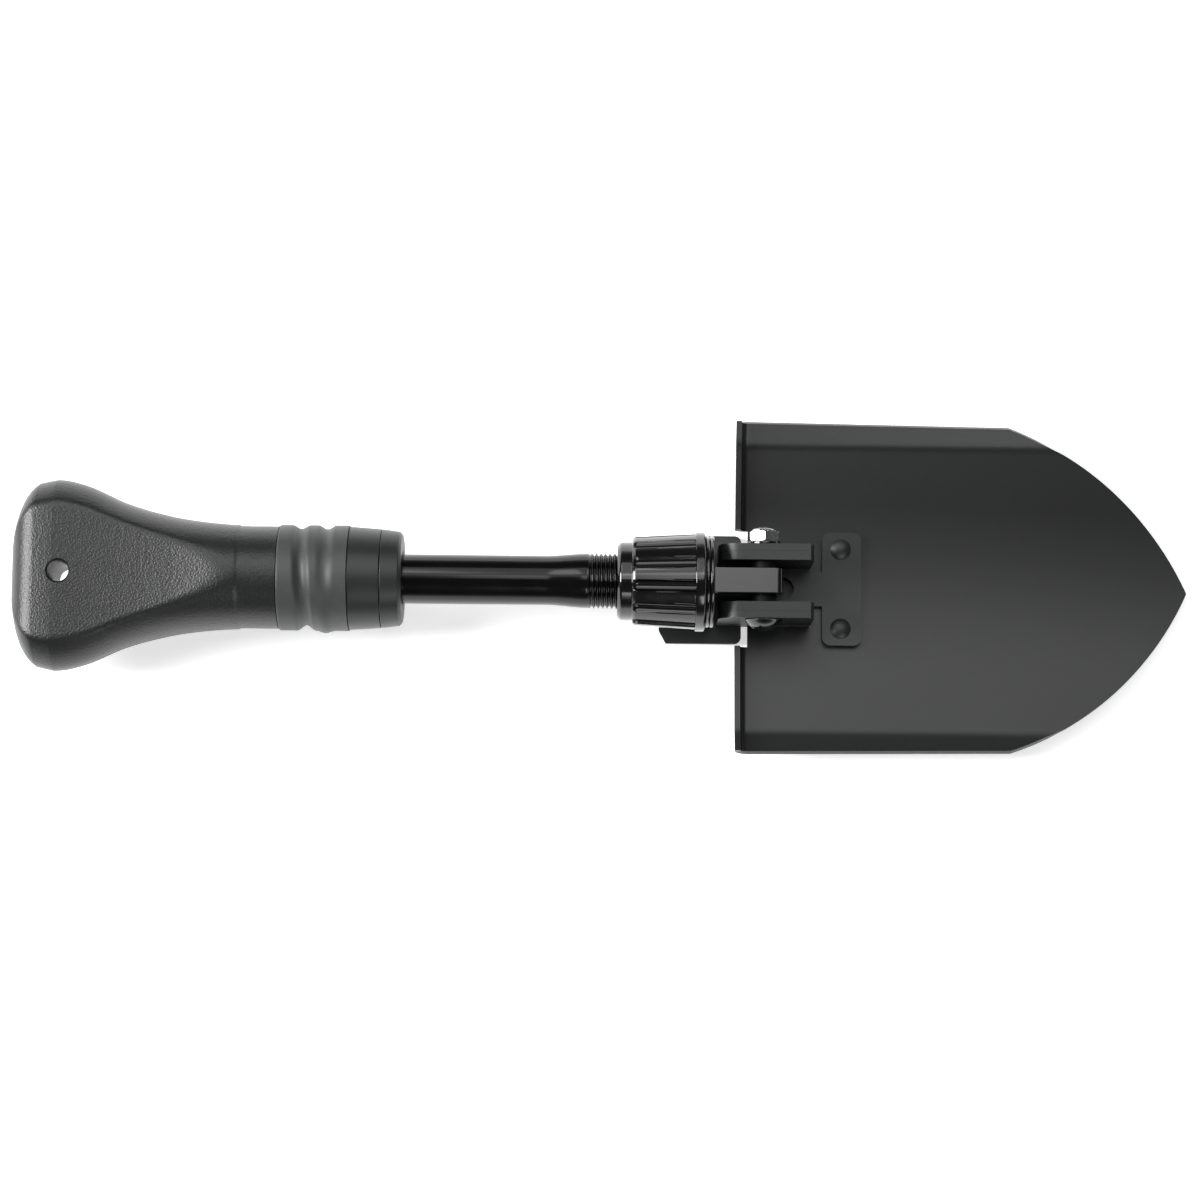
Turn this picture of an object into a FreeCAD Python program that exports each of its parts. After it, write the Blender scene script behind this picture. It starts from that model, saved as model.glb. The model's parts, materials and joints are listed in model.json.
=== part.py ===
import FreeCAD, Part
import math
import os
from FreeCAD import Vector

# Folding camp shovel, lying flat: +X from the handle's butt to the blade's tip, +Y across,
# +Z towards the hollow front of the blade. Millimetres. Everything is first drawn from the
# butt at x = 0 with the shaft's axis on y = z = 0, and is moved at the end so that the origin
# is the middle of the underside of the whole tool.

# ---- driving dimensions: fits -------------------------------------------------------------
running_fit = 0.08          # radial clearance of a part that turns or slides on another
pin_fit = 0.05              # radial clearance of the hinge bolt in its holes
seam_gap = 0.3              # gap between the handle and the turning grip
face_gap = 0.05             # axial gap between faces that slide on each other
fold_gap = 0.3              # gap between the swinging bracket ears and the lock nut's washer
nut_gap = 0.4               # gap between the folded front bracket and the lock nut

# ---- driving dimensions: handle -----------------------------------------------------------
handle_length = 94.2
butt_half_width = 34.0
butt_half_height = 14.5
butt_round_x = 15.2         # distance from the butt to the widest place
butt_edge_x = 13.0          # length of the rounding of the butt seen from the side
butt_power = 2.5            # how square the rounding of the butt is
neck_radius = 18.1
neck_start = 84.0           # where the flare has run out into the round neck
shell_wall = 3.0
rib_width = 3.0
lanyard_x = 18.0
lanyard_radius = 3.75
lanyard_chamfer = 0.6
screw_radius = 1.5
screw_head_radius = 2.9
screw_head_height = 2.0
screw_recess = 4.0          # depth of the screw heads' seats below the rear face
screw_bite = 8.0            # length of thread in the front shell
boss_radius = 3.9
screw_places = [(27.0, 21.5), (50.0, 16.6)]   # each place stands for a pair, left and right

# ---- driving dimensions: guide sleeve, bush and collet in the handle ----------------------
sleeve_start = 33.0         # closed end of the sleeve's seat, measured from the butt
sleeve_wall = 1.9
sleeve_key_length = 3.0
sleeve_key_height = 1.6
sleeve_key_from_end = 8.0   # distance of the locating ring from the end of the handle
sleeve_flange_height = 2.4
sleeve_flange_length = 3.0
stop_wall = 1.35            # wall of the end stop outside the tube
stop_length = 12.0
stop_lip = 1.6
bush_length = 20.0
collet_front_wall = 3.2
collet_slots = 4
collet_slot_width = 1.2

# ---- driving dimensions: twist collar -----------------------------------------------------
grip_length = 24.5
grip_wall = 2.9
grip_proud = 0.4            # the rubber stands this much above the collar's rear end
grip_groove_depth = 1.2
grip_groove_half_length = 5.0
collar_length = 11.4
collar_taper = 0.8          # fall of the collar's radius over its length
collar_pocket_gap = 0.32    # radial gap round the sleeve's flange inside the collar
cap_length = 7.4
cap_taper = 0.8
cap_lip = 1.6
cap_chamfer = 1.0
cap_spigot = 4.4
collar_skin = 2.7           # wall of the collar outside the spigot

# ---- driving dimensions: shaft ------------------------------------------------------------
tube_radius = 8.75
tube_wall = 1.5
tube_reach = 109.2          # tube from the collar's mouth to its hinge end
retract_travel = 48.0
thread_radius = 9.9
thread_depth = 0.85
thread_pitch = 25.4 / 16
thread_length = 44.0
flare_length = 14.8
flare_step = 0.25           # the flared plain stretch is this much under the thread's crest
yoke_stub_length = 32.0
yoke_shoulder_radius = 9.3
tongue_width = 9.1
tongue_half_height = 7.1
tongue_past_pivot = 6.3
tongue_round = 2.0
pivot_from_tube = 18.6

# ---- driving dimensions: lock nut ---------------------------------------------------------
nut_length = 31.0
nut_ring_radius = 17.6
nut_ring_length = 3.6
nut_cone_rear = 15.6
nut_cone_front = 16.9
nut_collar_radius = 13.9
nut_collar_length = 5.4
nut_flutes = 12
flute_radius = 2.25
flute_rise = 0.7            # how far the flute's centre lies outside the cone
flute_start = 1.9           # from the cone's rear edge to the flute's centre
flute_turn = 12.0           # angle of the first flute, in degrees
washer_radius = 16.2
washer_thickness = 1.5

# ---- driving dimensions: hinge ------------------------------------------------------------
cam_radius = 17.6           # reach of the ears about the hinge bolt
ear_back = 16.2             # flat end of the ears towards the lock nut
ear_top = 7.0
ear_round = 8.0
front_sheet = 3.2
rear_sheet = 2.5
ear_inner_face = 7.4
layer_gap = 0.05            # paint between the two layers of an ear
bolt_radius = 3.0
bolt_head_radius = 6.8
bolt_head_height = 4.0
bolt_past_nut = 0.4
hex_nut_flats = 10.0
hex_nut_height = 4.9
hinge_washer_radius = 6.0
hinge_washer_thickness = 1.1
spacer_radius = 4.2

# ---- driving dimensions: brackets ---------------------------------------------------------
head_from_pivot = 21.8      # near edge of the bracket heads that are riveted to the blade
head_length = 14.1
head_half_width = 20.4
head_round = 3.0
relief_half_width = 6.2
slot_half_width = 4.05
slot_from_pivot = 11.6      # rounded end of the slot in the front bracket
hammer_half_width = 19.6
hammer_start = 36.7         # from the pivot back to the striking edge
hammer_end = 7.1
hammer_chamfer_x = 2.5
hammer_chamfer_y = 4.6
hammer_round = 2.5
rivet_spacing = 29.0
rivet_from_pivot = 28.4
rivet_radius = 2.4
rivet_head_radius = 3.75
rivet_head_height = 1.3
rivet_seat = 0.05           # the flat of the front head bridges the hollow by this much

# ---- driving dimensions: blade ------------------------------------------------------------
blade_sheet = 2.0
blade_back = 7.7            # from the pivot back to the foot step
blade_length = 161.1
blade_half_width = 60.0
shoulder_half_width = 58.8
point_length = 64.8         # length of the pointed end
point_radius = 108.0
blade_corner = 2.0
trough_half_width = 30.0    # hollow middle, from the centre line to the flat sides
trough_angle = 8.0
fold_line = 50.0
fold_radius = 8.0
fold_angle = 20.0
step_height = 5.6
notch_half_width = 21.0
notch_depth = 2.8
window_gap = 0.15           # between the ears and the window in the blade

# ---- places that follow from the sizes ----------------------------------------------------
sleeve_bore = tube_radius + stop_wall + running_fit
sleeve_radius = sleeve_bore + sleeve_wall
flange_radius = sleeve_radius + sleeve_flange_height
key_radius = sleeve_radius + sleeve_key_height
pocket_radius = flange_radius + collar_pocket_gap
collar_front_radius = pocket_radius + collar_skin
collar_rear_radius = collar_front_radius + collar_taper
cap_front_radius = collar_front_radius - cap_taper
grip_radius = collar_rear_radius + grip_proud
grip_start = handle_length + seam_gap
grip_end = grip_start + grip_length
collar_end = grip_end + collar_length
cap_start = collar_end
mouth_x = cap_start + cap_length
flange_end = collar_end - cap_spigot - face_gap
flange_start = flange_end - sleeve_flange_length
tube_end = mouth_x + tube_reach
pivot_x = tube_end + pivot_from_tube
thread_start = tube_end - thread_length
flare_start = thread_start - flare_length
flare_radius = thread_radius - flare_step
flare_bore = thread_radius - thread_depth - tube_wall
bush_start = flange_end - bush_length
tube_start = bush_start - face_gap - stop_length
washer_face = pivot_x - cam_radius - fold_gap
front_washer_start = washer_face - washer_thickness
rear_washer_end = front_washer_start - face_gap
rear_washer_start = rear_washer_end - washer_thickness
nut_end = rear_washer_start - face_gap
nut_start = nut_end - nut_length
nut_bore = thread_radius + running_fit
floor_drop = nut_ring_radius + nut_gap
blade_drop = floor_drop + front_sheet
rear_drop = blade_drop + blade_sheet
front_ear_face = ear_inner_face + front_sheet
rear_ear_inner = front_ear_face + layer_gap
rear_ear_face = rear_ear_inner + rear_sheet
blade_start = pivot_x - blade_back
tip_x = blade_start + blade_length
trough_radius = trough_half_width / math.sin(math.radians(trough_angle))
trough_height = trough_radius - blade_drop      # centre of the hollow's curve above the shaft's axis
rivet_turn = math.asin(rivet_spacing / 2 / trough_radius)
rivet_sphere = (rivet_head_radius ** 2 + rivet_head_height ** 2) / (2 * rivet_head_height)
tail_reach = trough_height + rear_drop + rear_sheet + rivet_head_height - rivet_sphere
ground_drop = tail_reach * math.cos(rivet_turn) + rivet_sphere - trough_height
bolt_hole = bolt_radius + pin_fit

# ---- helpers ------------------------------------------------------------------------------
x_axis = Vector(1, 0, 0)
y_axis = Vector(0, 1, 0)
z_axis = Vector(0, 0, 1)


def box(x0, x1, y0, y1, z0, z1):
    return Part.makeBox(x1 - x0, y1 - y0, z1 - z0, Vector(x0, y0, z0))


def rod(x0, x1, radius):
    return Part.makeCylinder(radius, x1 - x0, Vector(x0, 0, 0), x_axis)


def tube(x0, x1, radius, bore):
    return rod(x0, x1, radius).cut(rod(x0 - 1, x1 + 1, bore))


def rod_y(x, y0, y1, radius, z=0.0):
    return Part.makeCylinder(radius, y1 - y0, Vector(x, y0, z), y_axis)


def rod_z(x, y, z0, z1, radius):
    return Part.makeCylinder(radius, z1 - z0, Vector(x, y, z0), z_axis)


def turned(outline):
    """Solid turned about the X axis from a closed outline of (x, radius) points."""
    points = [Vector(x, 0, r) for x, r in outline]
    face = Part.Face(Part.makePolygon(points + points[:1]))
    return face.revolve(Vector(0, 0, 0), x_axis, 360)


def plate(outline, z0, z1):
    """Flat plate between two heights from a closed outline of (x, y) points."""
    points = [Vector(x, y, z0) for x, y in outline]
    face = Part.Face(Part.makePolygon(points + points[:1]))
    return face.extrude(Vector(0, 0, z1 - z0))


def mirrored(shape):
    return shape.mirror(Vector(0, 0, 0), y_axis)


def both_sides(shape):
    return shape.fuse(mirrored(shape))


def upright_edges(shape, radius, wanted):
    """Round the upright edges whose middle passes the test."""
    edges = []
    for edge in shape.Edges:
        if len(edge.Vertexes) != 2:
            continue
        start = edge.Vertexes[0].Point
        end = edge.Vertexes[1].Point
        if abs(start.x - end.x) > 0.01 or abs(start.y - end.y) > 0.01:
            continue
        if wanted(start):
            edges.append(edge)
    return shape.makeFillet(radius, edges)


def smooth(points, x):
    """Height at x of the smooth curve through a few (x, height) points."""
    if x <= points[0][0]:
        return points[0][1]
    if x >= points[-1][0]:
        return points[-1][1]
    slopes = [0.0]
    for before, after in zip(points, points[2:]):
        slopes.append((after[1] - before[1]) / (after[0] - before[0]))
    slopes.append(0.0)
    index = 0
    while points[index + 1][0] < x:
        index += 1
    x0, h0 = points[index]
    x1, h1 = points[index + 1]
    span = x1 - x0
    t = (x - x0) / span
    rise = h0 * (1 + 2 * t) * (1 - t) ** 2 + h1 * t * t * (3 - 2 * t)
    return rise + span * (slopes[index] * t * (1 - t) ** 2 - slopes[index + 1] * t * t * (1 - t))


# ---- handle -------------------------------------------------------------------------------
flare = neck_start - butt_round_x
flare_rise = butt_half_width - neck_radius
flank_points = [(butt_round_x, butt_half_width)]
for along, share in [(0.16, 0.862), (0.37, 0.465), (0.585, 0.204), (0.79, 0.06)]:
    flank_points.append((butt_round_x + along * flare, neck_radius + share * flare_rise))
flank_points.append((neck_start, neck_radius))
height_points = [(butt_edge_x, butt_half_height), (0.45 * neck_start, butt_half_height + 0.2)]
height_points.append((0.88 * neck_start, neck_radius - 0.5))
height_points.append((neck_start, neck_radius))
square_points = [(0.0, 2.6), (0.2 * neck_start, 3.2), (0.5 * neck_start, 2.9), (neck_start, 2.0)]
section_points = 40
seam_turn = 0.1             # keeps the seam of the lofted skin off the parting plane and the top
butt_start = 0.25           # depth at which the butt's flat middle is taken from its rounding


def butt_share(x, length):
    """Share of the full size at a distance x into a rounded end of the given length."""
    if x >= length:
        return 1.0
    depth = (length - max(x, butt_start)) / length
    return (1.0 - depth ** butt_power) ** (1.0 / butt_power)


def handle_half_sizes(x, inset):
    half_width = smooth(flank_points, x) * butt_share(x, butt_round_x) - inset
    half_height = smooth(height_points, x) * butt_share(x, butt_edge_x) - inset
    return half_width, half_height


def handle_height(x, y):
    """Height of the handle's face above the parting plane at a place inside its outline."""
    half_width, half_height = handle_half_sizes(x, 0.0)
    power = smooth(square_points, x)
    return half_height * (1.0 - (y / half_width) ** power) ** (1.0 / power)


def handle_section(x, inset):
    half_width, half_height = handle_half_sizes(x, inset)
    power = 2.0 / smooth(square_points, x)
    points = []
    for step in range(section_points):
        angle = 2 * math.pi * (step / section_points + seam_turn)
        across = math.copysign(abs(math.cos(angle)) ** power, math.cos(angle))
        up = math.copysign(abs(math.sin(angle)) ** power, math.sin(angle))
        points.append(Vector(x, half_width * across, half_height * up))
    curve = Part.BSplineCurve()
    curve.interpolate(Points=points, PeriodicFlag=True)
    return Part.Wire([curve.toShape()])


def handle_body(stations, inset):
    return Part.makeLoft([handle_section(x, inset) for x in stations], True, False)


butt_stations = [0.0, 0.5, 1.3, 2.6, 4.5, 7.0, 10.0, 13.0]
flare_stations = [16.0, 21.0, 27.0, 34.0, 42.0, 50.0, 58.0, 66.0, 74.0, neck_start]
key_end = handle_length - sleeve_key_from_end
key_start = key_end - sleeve_key_length
cavity_end = key_start - 2 * rib_width
cavity_stations = [x for x in [7.0, 8.5, 11.0] + flare_stations if x < cavity_end - 3.0] + [cavity_end]
neck_stations = [(neck_start + handle_length) / 2, handle_length]
body = handle_body(butt_stations + flare_stations + neck_stations, 0.0)
cavity = handle_body(cavity_stations, shell_wall)
deep = 2 * butt_half_width
kept = rod_z(lanyard_x, 0, -deep, deep, lanyard_radius + shell_wall)
for x in (sleeve_start, (sleeve_start + cavity_end) / 2):
    kept = kept.fuse(box(x, x + rib_width, -deep, deep, -deep, deep))
for x, y in screw_places:
    kept = kept.fuse(both_sides(rod_z(x, y, -deep, deep, boss_radius)))
body = body.cut(cavity.cut(kept))
body = body.cut(rod(sleeve_start, handle_length + 1, sleeve_radius))
body = body.cut(rod(key_start, key_end, key_radius + face_gap))
body = body.cut(rod_z(lanyard_x, 0, -deep, deep, lanyard_radius))
for side in (1, -1):
    rim = Part.makeCone(lanyard_radius, lanyard_radius + 3 * lanyard_chamfer, 3 * lanyard_chamfer,
                        Vector(lanyard_x, 0, side * (butt_half_height - lanyard_chamfer)),
                        Vector(0, 0, side))
    body = body.cut(rim)
screw_holes = []
handle_screws = []
for x, y in screw_places:
    seat = screw_recess - handle_height(x, y)
    for side in (y, -y):
        screw_holes.append(rod_z(x, side, -deep, seat, screw_head_radius + running_fit))
        screw_holes.append(rod_z(x, side, seat - 1, screw_bite, screw_radius))
        head = rod_z(x, side, seat - screw_head_height, seat, screw_head_radius)
        socket = rod_z(x, side, seat - screw_head_height - 1, seat - screw_head_height / 2, screw_radius)
        handle_screws.append(head.cut(socket).fuse(rod_z(x, side, seat - screw_head_height / 2, screw_bite,
                                                         screw_radius)))
body = body.cut(Part.makeCompound(screw_holes))
handle_front_shell = body.common(box(-1, handle_length + 1, -deep, deep, 0, deep))
handle_rear_shell = body.common(box(-1, handle_length + 1, -deep, deep, -deep, 0))

# ---- guide sleeve, bush, collet and end stop ----------------------------------------------
guide_sleeve = turned([
    (sleeve_start, sleeve_bore), (sleeve_start, sleeve_radius), (key_start, sleeve_radius),
    (key_start, key_radius), (key_end, key_radius), (key_end, sleeve_radius),
    (flange_start, sleeve_radius), (flange_start, flange_radius), (flange_end, flange_radius),
    (flange_end, sleeve_bore)])
front_bush = tube(bush_start, flange_end, sleeve_bore, tube_radius + running_fit)
collet_start = flange_end
collet_end = mouth_x - cap_lip - face_gap
collet = turned([
    (collet_start, tube_radius + running_fit), (collet_start, sleeve_radius),
    (collet_start + cap_spigot / 2, sleeve_radius),
    (collet_end, tube_radius + running_fit + collet_front_wall / 2),
    (collet_end, tube_radius + running_fit)])
for slot in range(collet_slots):
    cutter = box(collet_start + cap_spigot / 2, collet_end + 1, 0, 2 * sleeve_radius,
                 -collet_slot_width / 2, collet_slot_width / 2)
    cutter.rotate(Vector(0, 0, 0), x_axis, 360.0 * slot / collet_slots + 45)
    collet = collet.cut(cutter)
shaft_end_stop = turned([
    (tube_start - stop_lip, tube_radius - tube_wall), (tube_start - stop_lip, sleeve_bore - running_fit),
    (tube_start + stop_length, sleeve_bore - running_fit), (tube_start + stop_length, tube_radius),
    (tube_start, tube_radius), (tube_start, tube_radius - tube_wall)])

# ---- twist collar -------------------------------------------------------------------------
grip_seat = grip_radius - grip_wall
collar_bore = sleeve_radius + running_fit
twist_collar = turned([
    (grip_start, collar_bore), (grip_start, grip_seat), (grip_end, grip_seat),
    (grip_end, collar_rear_radius), (collar_end, collar_front_radius), (collar_end, pocket_radius),
    (flange_start - face_gap, pocket_radius), (flange_start - face_gap, collar_bore)])
cap_bore = tube_radius + 4 * running_fit
collar_cap = turned([
    (collar_end - cap_spigot, sleeve_radius + running_fit + seam_gap),
    (collar_end - cap_spigot, pocket_radius), (cap_start, pocket_radius),
    (cap_start, collar_front_radius), (mouth_x - cap_chamfer, cap_front_radius),
    (mouth_x, cap_front_radius - cap_chamfer), (mouth_x, cap_bore), (mouth_x - cap_lip, cap_bore),
    (mouth_x - cap_lip, tube_radius + collet_front_wall), (cap_start, sleeve_radius + running_fit + seam_gap)])
rubber_grip = tube(grip_start, grip_end, grip_radius, grip_seat)
groove_radius = (grip_groove_half_length ** 2 + grip_groove_depth ** 2) / (2 * grip_groove_depth)
for share in (0.32, 0.68):
    groove = Part.makeTorus(grip_radius - grip_groove_depth + groove_radius, groove_radius,
                            Vector(grip_start + share * grip_length, 0, 0), x_axis)
    rubber_grip = rubber_grip.cut(groove)

# ---- shaft --------------------------------------------------------------------------------
tube_outline = [
    (tube_start, tube_radius - tube_wall), (tube_start, tube_radius), (flare_start, tube_radius),
    (flare_start + flare_length / 3, tube_radius + (flare_radius - tube_radius) / 4),
    (thread_start - flare_length / 3, flare_radius - (flare_radius - tube_radius) / 4),
    (thread_start - thread_pitch / 2, flare_radius), (thread_start, flare_radius)]
turns = int((thread_length - thread_pitch) / thread_pitch)
for turn in range(turns):
    root = thread_start + turn * thread_pitch
    tube_outline.append((root + 0.3 * thread_pitch, thread_radius - thread_depth))
    tube_outline.append((root + 0.45 * thread_pitch, thread_radius - thread_depth))
    tube_outline.append((root + 0.8 * thread_pitch, thread_radius))
    tube_outline.append((root + 0.95 * thread_pitch, thread_radius))
tube_outline += [
    (tube_end, thread_radius - thread_depth), (tube_end, flare_bore), (thread_start, flare_bore),
    (flare_start, tube_radius - tube_wall)]
shaft_tube = turned(tube_outline)
tongue_end = pivot_x + tongue_past_pivot
shoulder_end = washer_face
tongue = box(tube_end, tongue_end, -tongue_width / 2, tongue_width / 2, -tongue_half_height,
             tongue_half_height)
tongue_ends = [edge for edge in tongue.Edges if edge.BoundBox.XMin > tongue_end - 0.01
               and edge.BoundBox.ZLength < 0.01]
tongue = tongue.makeFillet(tongue_round, tongue_ends)
hinge_yoke = rod(tube_end - yoke_stub_length, tube_end, flare_bore)
hinge_yoke = hinge_yoke.fuse(rod(tube_end, shoulder_end, yoke_shoulder_radius)).fuse(tongue)
hinge_yoke = hinge_yoke.cut(rod_y(pivot_x, -tongue_width, tongue_width, bolt_hole)).removeSplitter()

# ---- lock nut and its washers -------------------------------------------------------------
cone_start = nut_start + nut_collar_length
cone_end = nut_end - nut_ring_length
lock_nut = turned([
    (nut_start, nut_bore), (nut_start, nut_collar_radius - 1.2), (nut_start + 1.2, nut_collar_radius),
    (cone_start, nut_collar_radius), (cone_start, nut_cone_rear - 0.8), (cone_start + 0.8, nut_cone_rear),
    (cone_end, nut_cone_front), (cone_end + 0.4, nut_ring_radius), (nut_end - 0.5, nut_ring_radius),
    (nut_end, nut_ring_radius - 0.5), (nut_end, nut_bore)])
flute_x = cone_start + flute_start
flute_run = cone_end - flute_x
cone_slope = (nut_cone_front - nut_cone_rear) / (cone_end - cone_start)
flute_height = nut_cone_rear + cone_slope * flute_start + flute_rise
for flute in range(nut_flutes):
    ball = Part.makeSphere(flute_radius, Vector(flute_x, 0, flute_height))
    groove = Part.makeCylinder(flute_radius, flute_run, Vector(flute_x, 0, flute_height),
                               Vector(1, 0, cone_slope))
    cutter = ball.fuse(groove).common(box(cone_start - 1, cone_end, -5, 5, 0, 2 * nut_ring_radius))
    cutter.rotate(Vector(0, 0, 0), x_axis, flute_turn + 360.0 * flute / nut_flutes)
    lock_nut = lock_nut.cut(cutter)


def washer(x0, edge):
    x1 = x0 + washer_thickness
    return turned([(x0, nut_bore), (x0, washer_radius - edge), (x0 + edge, washer_radius),
                   (x1 - edge, washer_radius), (x1, washer_radius - edge), (x1, nut_bore)])


rear_washer = washer(rear_washer_start, 0.5)
front_washer = washer(front_washer_start, 0.5)

# ---- brackets -----------------------------------------------------------------------------


def ear(inner_face, outer_face, bottom):
    """One ear: straight ends below the bolt, a rounded top that clears the lock nut."""
    shape = box(-ear_back, cam_radius, inner_face, outer_face, bottom, ear_top)
    corner = [edge for edge in shape.Edges if edge.BoundBox.XMax < 0.01 - ear_back
              and edge.BoundBox.ZMin > ear_top - 0.01]
    shape = shape.makeFillet(ear_round, corner)
    upper = box(-2 * cam_radius, 2 * cam_radius, inner_face, outer_face, 0, 2 * cam_radius)
    outside = upper.cut(rod_y(0, inner_face, outer_face, cam_radius))
    shape = shape.cut(outside).cut(rod_y(0, 0, 2 * outer_face, bolt_hole))
    shape.translate(Vector(pivot_x, 0, 0))
    return shape


def curved_sheet(x0, x1, half_width, top, thickness):
    """Sheet that follows the hollow middle of the blade; top is its height at the centre."""
    centre = Vector(x0, 0, trough_height)
    inner = trough_height - top
    ring = Part.makeCylinder(inner + thickness, x1 - x0, centre, x_axis)
    ring = ring.cut(Part.makeCylinder(inner, x1 - x0, centre, x_axis))
    return ring.common(box(x0, x1, -half_width, half_width, top - thickness - 1, top + 5))


def bracket_head(top, thickness):
    start = pivot_x + head_from_pivot
    end = start + head_length
    head = curved_sheet(start, end, head_half_width, top, thickness)
    head = upright_edges(head, head_round, lambda point: abs(point.y) > head_half_width - 0.01)
    web = curved_sheet(pivot_x + cam_radius - thickness, start + 1, relief_half_width, top, thickness)
    return head.fuse(web)


rivet_x = pivot_x + rivet_from_pivot


def swung(shape, side):
    """Swing a shape drawn on the centre line along the hollow to where a rivet stands."""
    shape.rotate(Vector(0, 0, trough_height), x_axis, side * math.degrees(rivet_turn))
    return shape


rivet_holes = Part.makeCompound([swung(rod_z(rivet_x, 0, -2 * ground_drop, 0, rivet_radius), side)
                                 for side in (1, -1)])
neck = box(pivot_x - ear_back, pivot_x + cam_radius, -front_ear_face, front_ear_face,
           -blade_drop, -floor_drop)
slot_end = pivot_x + slot_from_pivot - slot_half_width
slot = box(pivot_x - 2 * ear_back, slot_end, -slot_half_width, slot_half_width, -2 * blade_drop, 0)
slot = slot.fuse(rod_z(slot_end, 0, -2 * blade_drop, 0, slot_half_width))
front_bracket = neck.fuse(both_sides(ear(ear_inner_face, front_ear_face, -blade_drop)))
front_bracket = front_bracket.fuse(bracket_head(-floor_drop, front_sheet))
front_bracket = front_bracket.cut(slot).cut(rivet_holes).removeSplitter()

rear_bottom = -rear_drop - rear_sheet
hammer_x0 = pivot_x - hammer_start
hammer_x1 = pivot_x - hammer_end
hammer = plate([
    (hammer_x0 + hammer_chamfer_x, -hammer_half_width), (hammer_x1, -hammer_half_width),
    (hammer_x1, hammer_half_width), (hammer_x0 + hammer_chamfer_x, hammer_half_width),
    (hammer_x0, hammer_half_width - hammer_chamfer_y), (hammer_x0, hammer_chamfer_y - hammer_half_width)],
    rear_bottom, -rear_drop)
hammer = upright_edges(hammer, hammer_round, lambda point: point.x > hammer_x1 - 0.01)
rear_neck = box(hammer_x1 - 1, pivot_x + cam_radius, -rear_ear_face, rear_ear_face, rear_bottom, -rear_drop)
rear_bracket = hammer.fuse(rear_neck).fuse(both_sides(ear(rear_ear_inner, rear_ear_face, rear_bottom)))
rear_bracket = rear_bracket.fuse(bracket_head(-rear_drop, rear_sheet))
rear_bracket = rear_bracket.cut(rivet_holes).removeSplitter()

# ---- hinge fasteners ----------------------------------------------------------------------
washer_out = rear_ear_face + hinge_washer_thickness
hex_out = washer_out + hex_nut_height
bolt_end = hex_out + bolt_past_nut
dome_radius = (bolt_head_radius ** 2 + bolt_head_height ** 2) / (2 * bolt_head_height)
dome = Part.makeSphere(dome_radius, Vector(pivot_x, dome_radius - rear_ear_face - bolt_head_height, 0))
dome = dome.common(rod_y(pivot_x, -rear_ear_face - bolt_head_height - 1, -rear_ear_face, bolt_head_radius))
hinge_bolt = dome.fuse(rod_y(pivot_x, -rear_ear_face, bolt_end, bolt_radius))
hinge_washer = rod_y(pivot_x, rear_ear_face, washer_out, hinge_washer_radius)
hinge_washer = hinge_washer.cut(rod_y(pivot_x, 0, bolt_end, bolt_radius))
corner = hex_nut_flats / math.sqrt(3)
hex_points = [Vector(pivot_x + corner * math.sin(math.radians(60 * k)), washer_out,
                     corner * math.cos(math.radians(60 * k))) for k in range(7)]
hinge_nut = Part.Face(Part.makePolygon(hex_points)).extrude(Vector(0, hex_nut_height, 0))
bevel = Part.makeCone(corner + hex_nut_height, hex_nut_flats / 2 - 0.2, corner - hex_nut_flats / 2
                      + hex_nut_height + 0.2, Vector(pivot_x, hex_out - corner + hex_nut_flats / 2
                                                     - hex_nut_height - 0.2, 0), y_axis)
hinge_nut = hinge_nut.common(bevel).cut(rod_y(pivot_x, 0, bolt_end, bolt_radius))
spacer = rod_y(pivot_x, tongue_width / 2 + face_gap, ear_inner_face, spacer_radius)
hinge_spacers = both_sides(spacer.cut(rod_y(pivot_x, 0, bolt_end, bolt_radius)))

# ---- blade --------------------------------------------------------------------------------
side_run = (fold_line - trough_half_width) / math.cos(math.radians(trough_angle))
flange_run = blade_half_width - fold_line + 10.0
half_path = [(trough_radius, trough_angle), (side_run, 0), (fold_radius, fold_angle), (flange_run, 0)]


def half_section(offset):
    """Edges of one half of the blade's section, offset towards the hollow side."""
    y, z, heading = 0.0, offset - blade_drop, 0.0
    edges = []
    for size, turn in half_path:
        start = Vector(0, y, z)
        if turn == 0:
            y += size * math.cos(heading)
            z += size * math.sin(heading)
            edges.append(Part.makeLine(start, Vector(0, y, z)))
            continue
        radius = size - offset
        centre_y = y - radius * math.sin(heading)
        centre_z = z + radius * math.cos(heading)
        middle = heading + math.radians(turn) / 2
        heading += math.radians(turn)
        y = centre_y + radius * math.sin(heading)
        z = centre_z - radius * math.cos(heading)
        passing = Vector(0, centre_y + radius * math.sin(middle), centre_z - radius * math.cos(middle))
        edges.append(Part.Arc(start, passing, Vector(0, y, z)).toShape())
    return edges, Vector(0, y, z)


def trough(x0, x1, low, high):
    """The blade's section between two offsets, drawn out along X."""
    lower, lower_end = half_section(low)
    upper, upper_end = half_section(high)
    side = [Part.makeLine(Vector(0, 0, low - blade_drop), Vector(0, 0, high - blade_drop))]
    face = Part.Face(Part.Wire(Part.sortEdges(lower + upper + side
                                              + [Part.makeLine(lower_end, upper_end)])[0]))
    half = face.extrude(Vector(x1 - x0, 0, 0))
    half.translate(Vector(x0, 0, 0))
    return half.fuse(mirrored(half)).removeSplitter()


shoulder_x = tip_x - point_length
chord = Vector(point_length, -shoulder_half_width, 0)
bulge = point_radius - math.sqrt(point_radius ** 2 - chord.Length ** 2 / 4)
middle = Vector(shoulder_x, shoulder_half_width, 0) + chord * 0.5
middle += Vector(shoulder_half_width, point_length, 0).normalize() * bulge
tip = Vector(tip_x, 0, 0)
base_left = Vector(blade_start, blade_half_width, 0)
shoulder_left = Vector(shoulder_x, shoulder_half_width, 0)
left_edges = [Part.makeLine(base_left, shoulder_left), Part.Arc(shoulder_left, middle, tip).toShape()]


def across(point):
    return Vector(point.x, -point.y, point.z)


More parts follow.
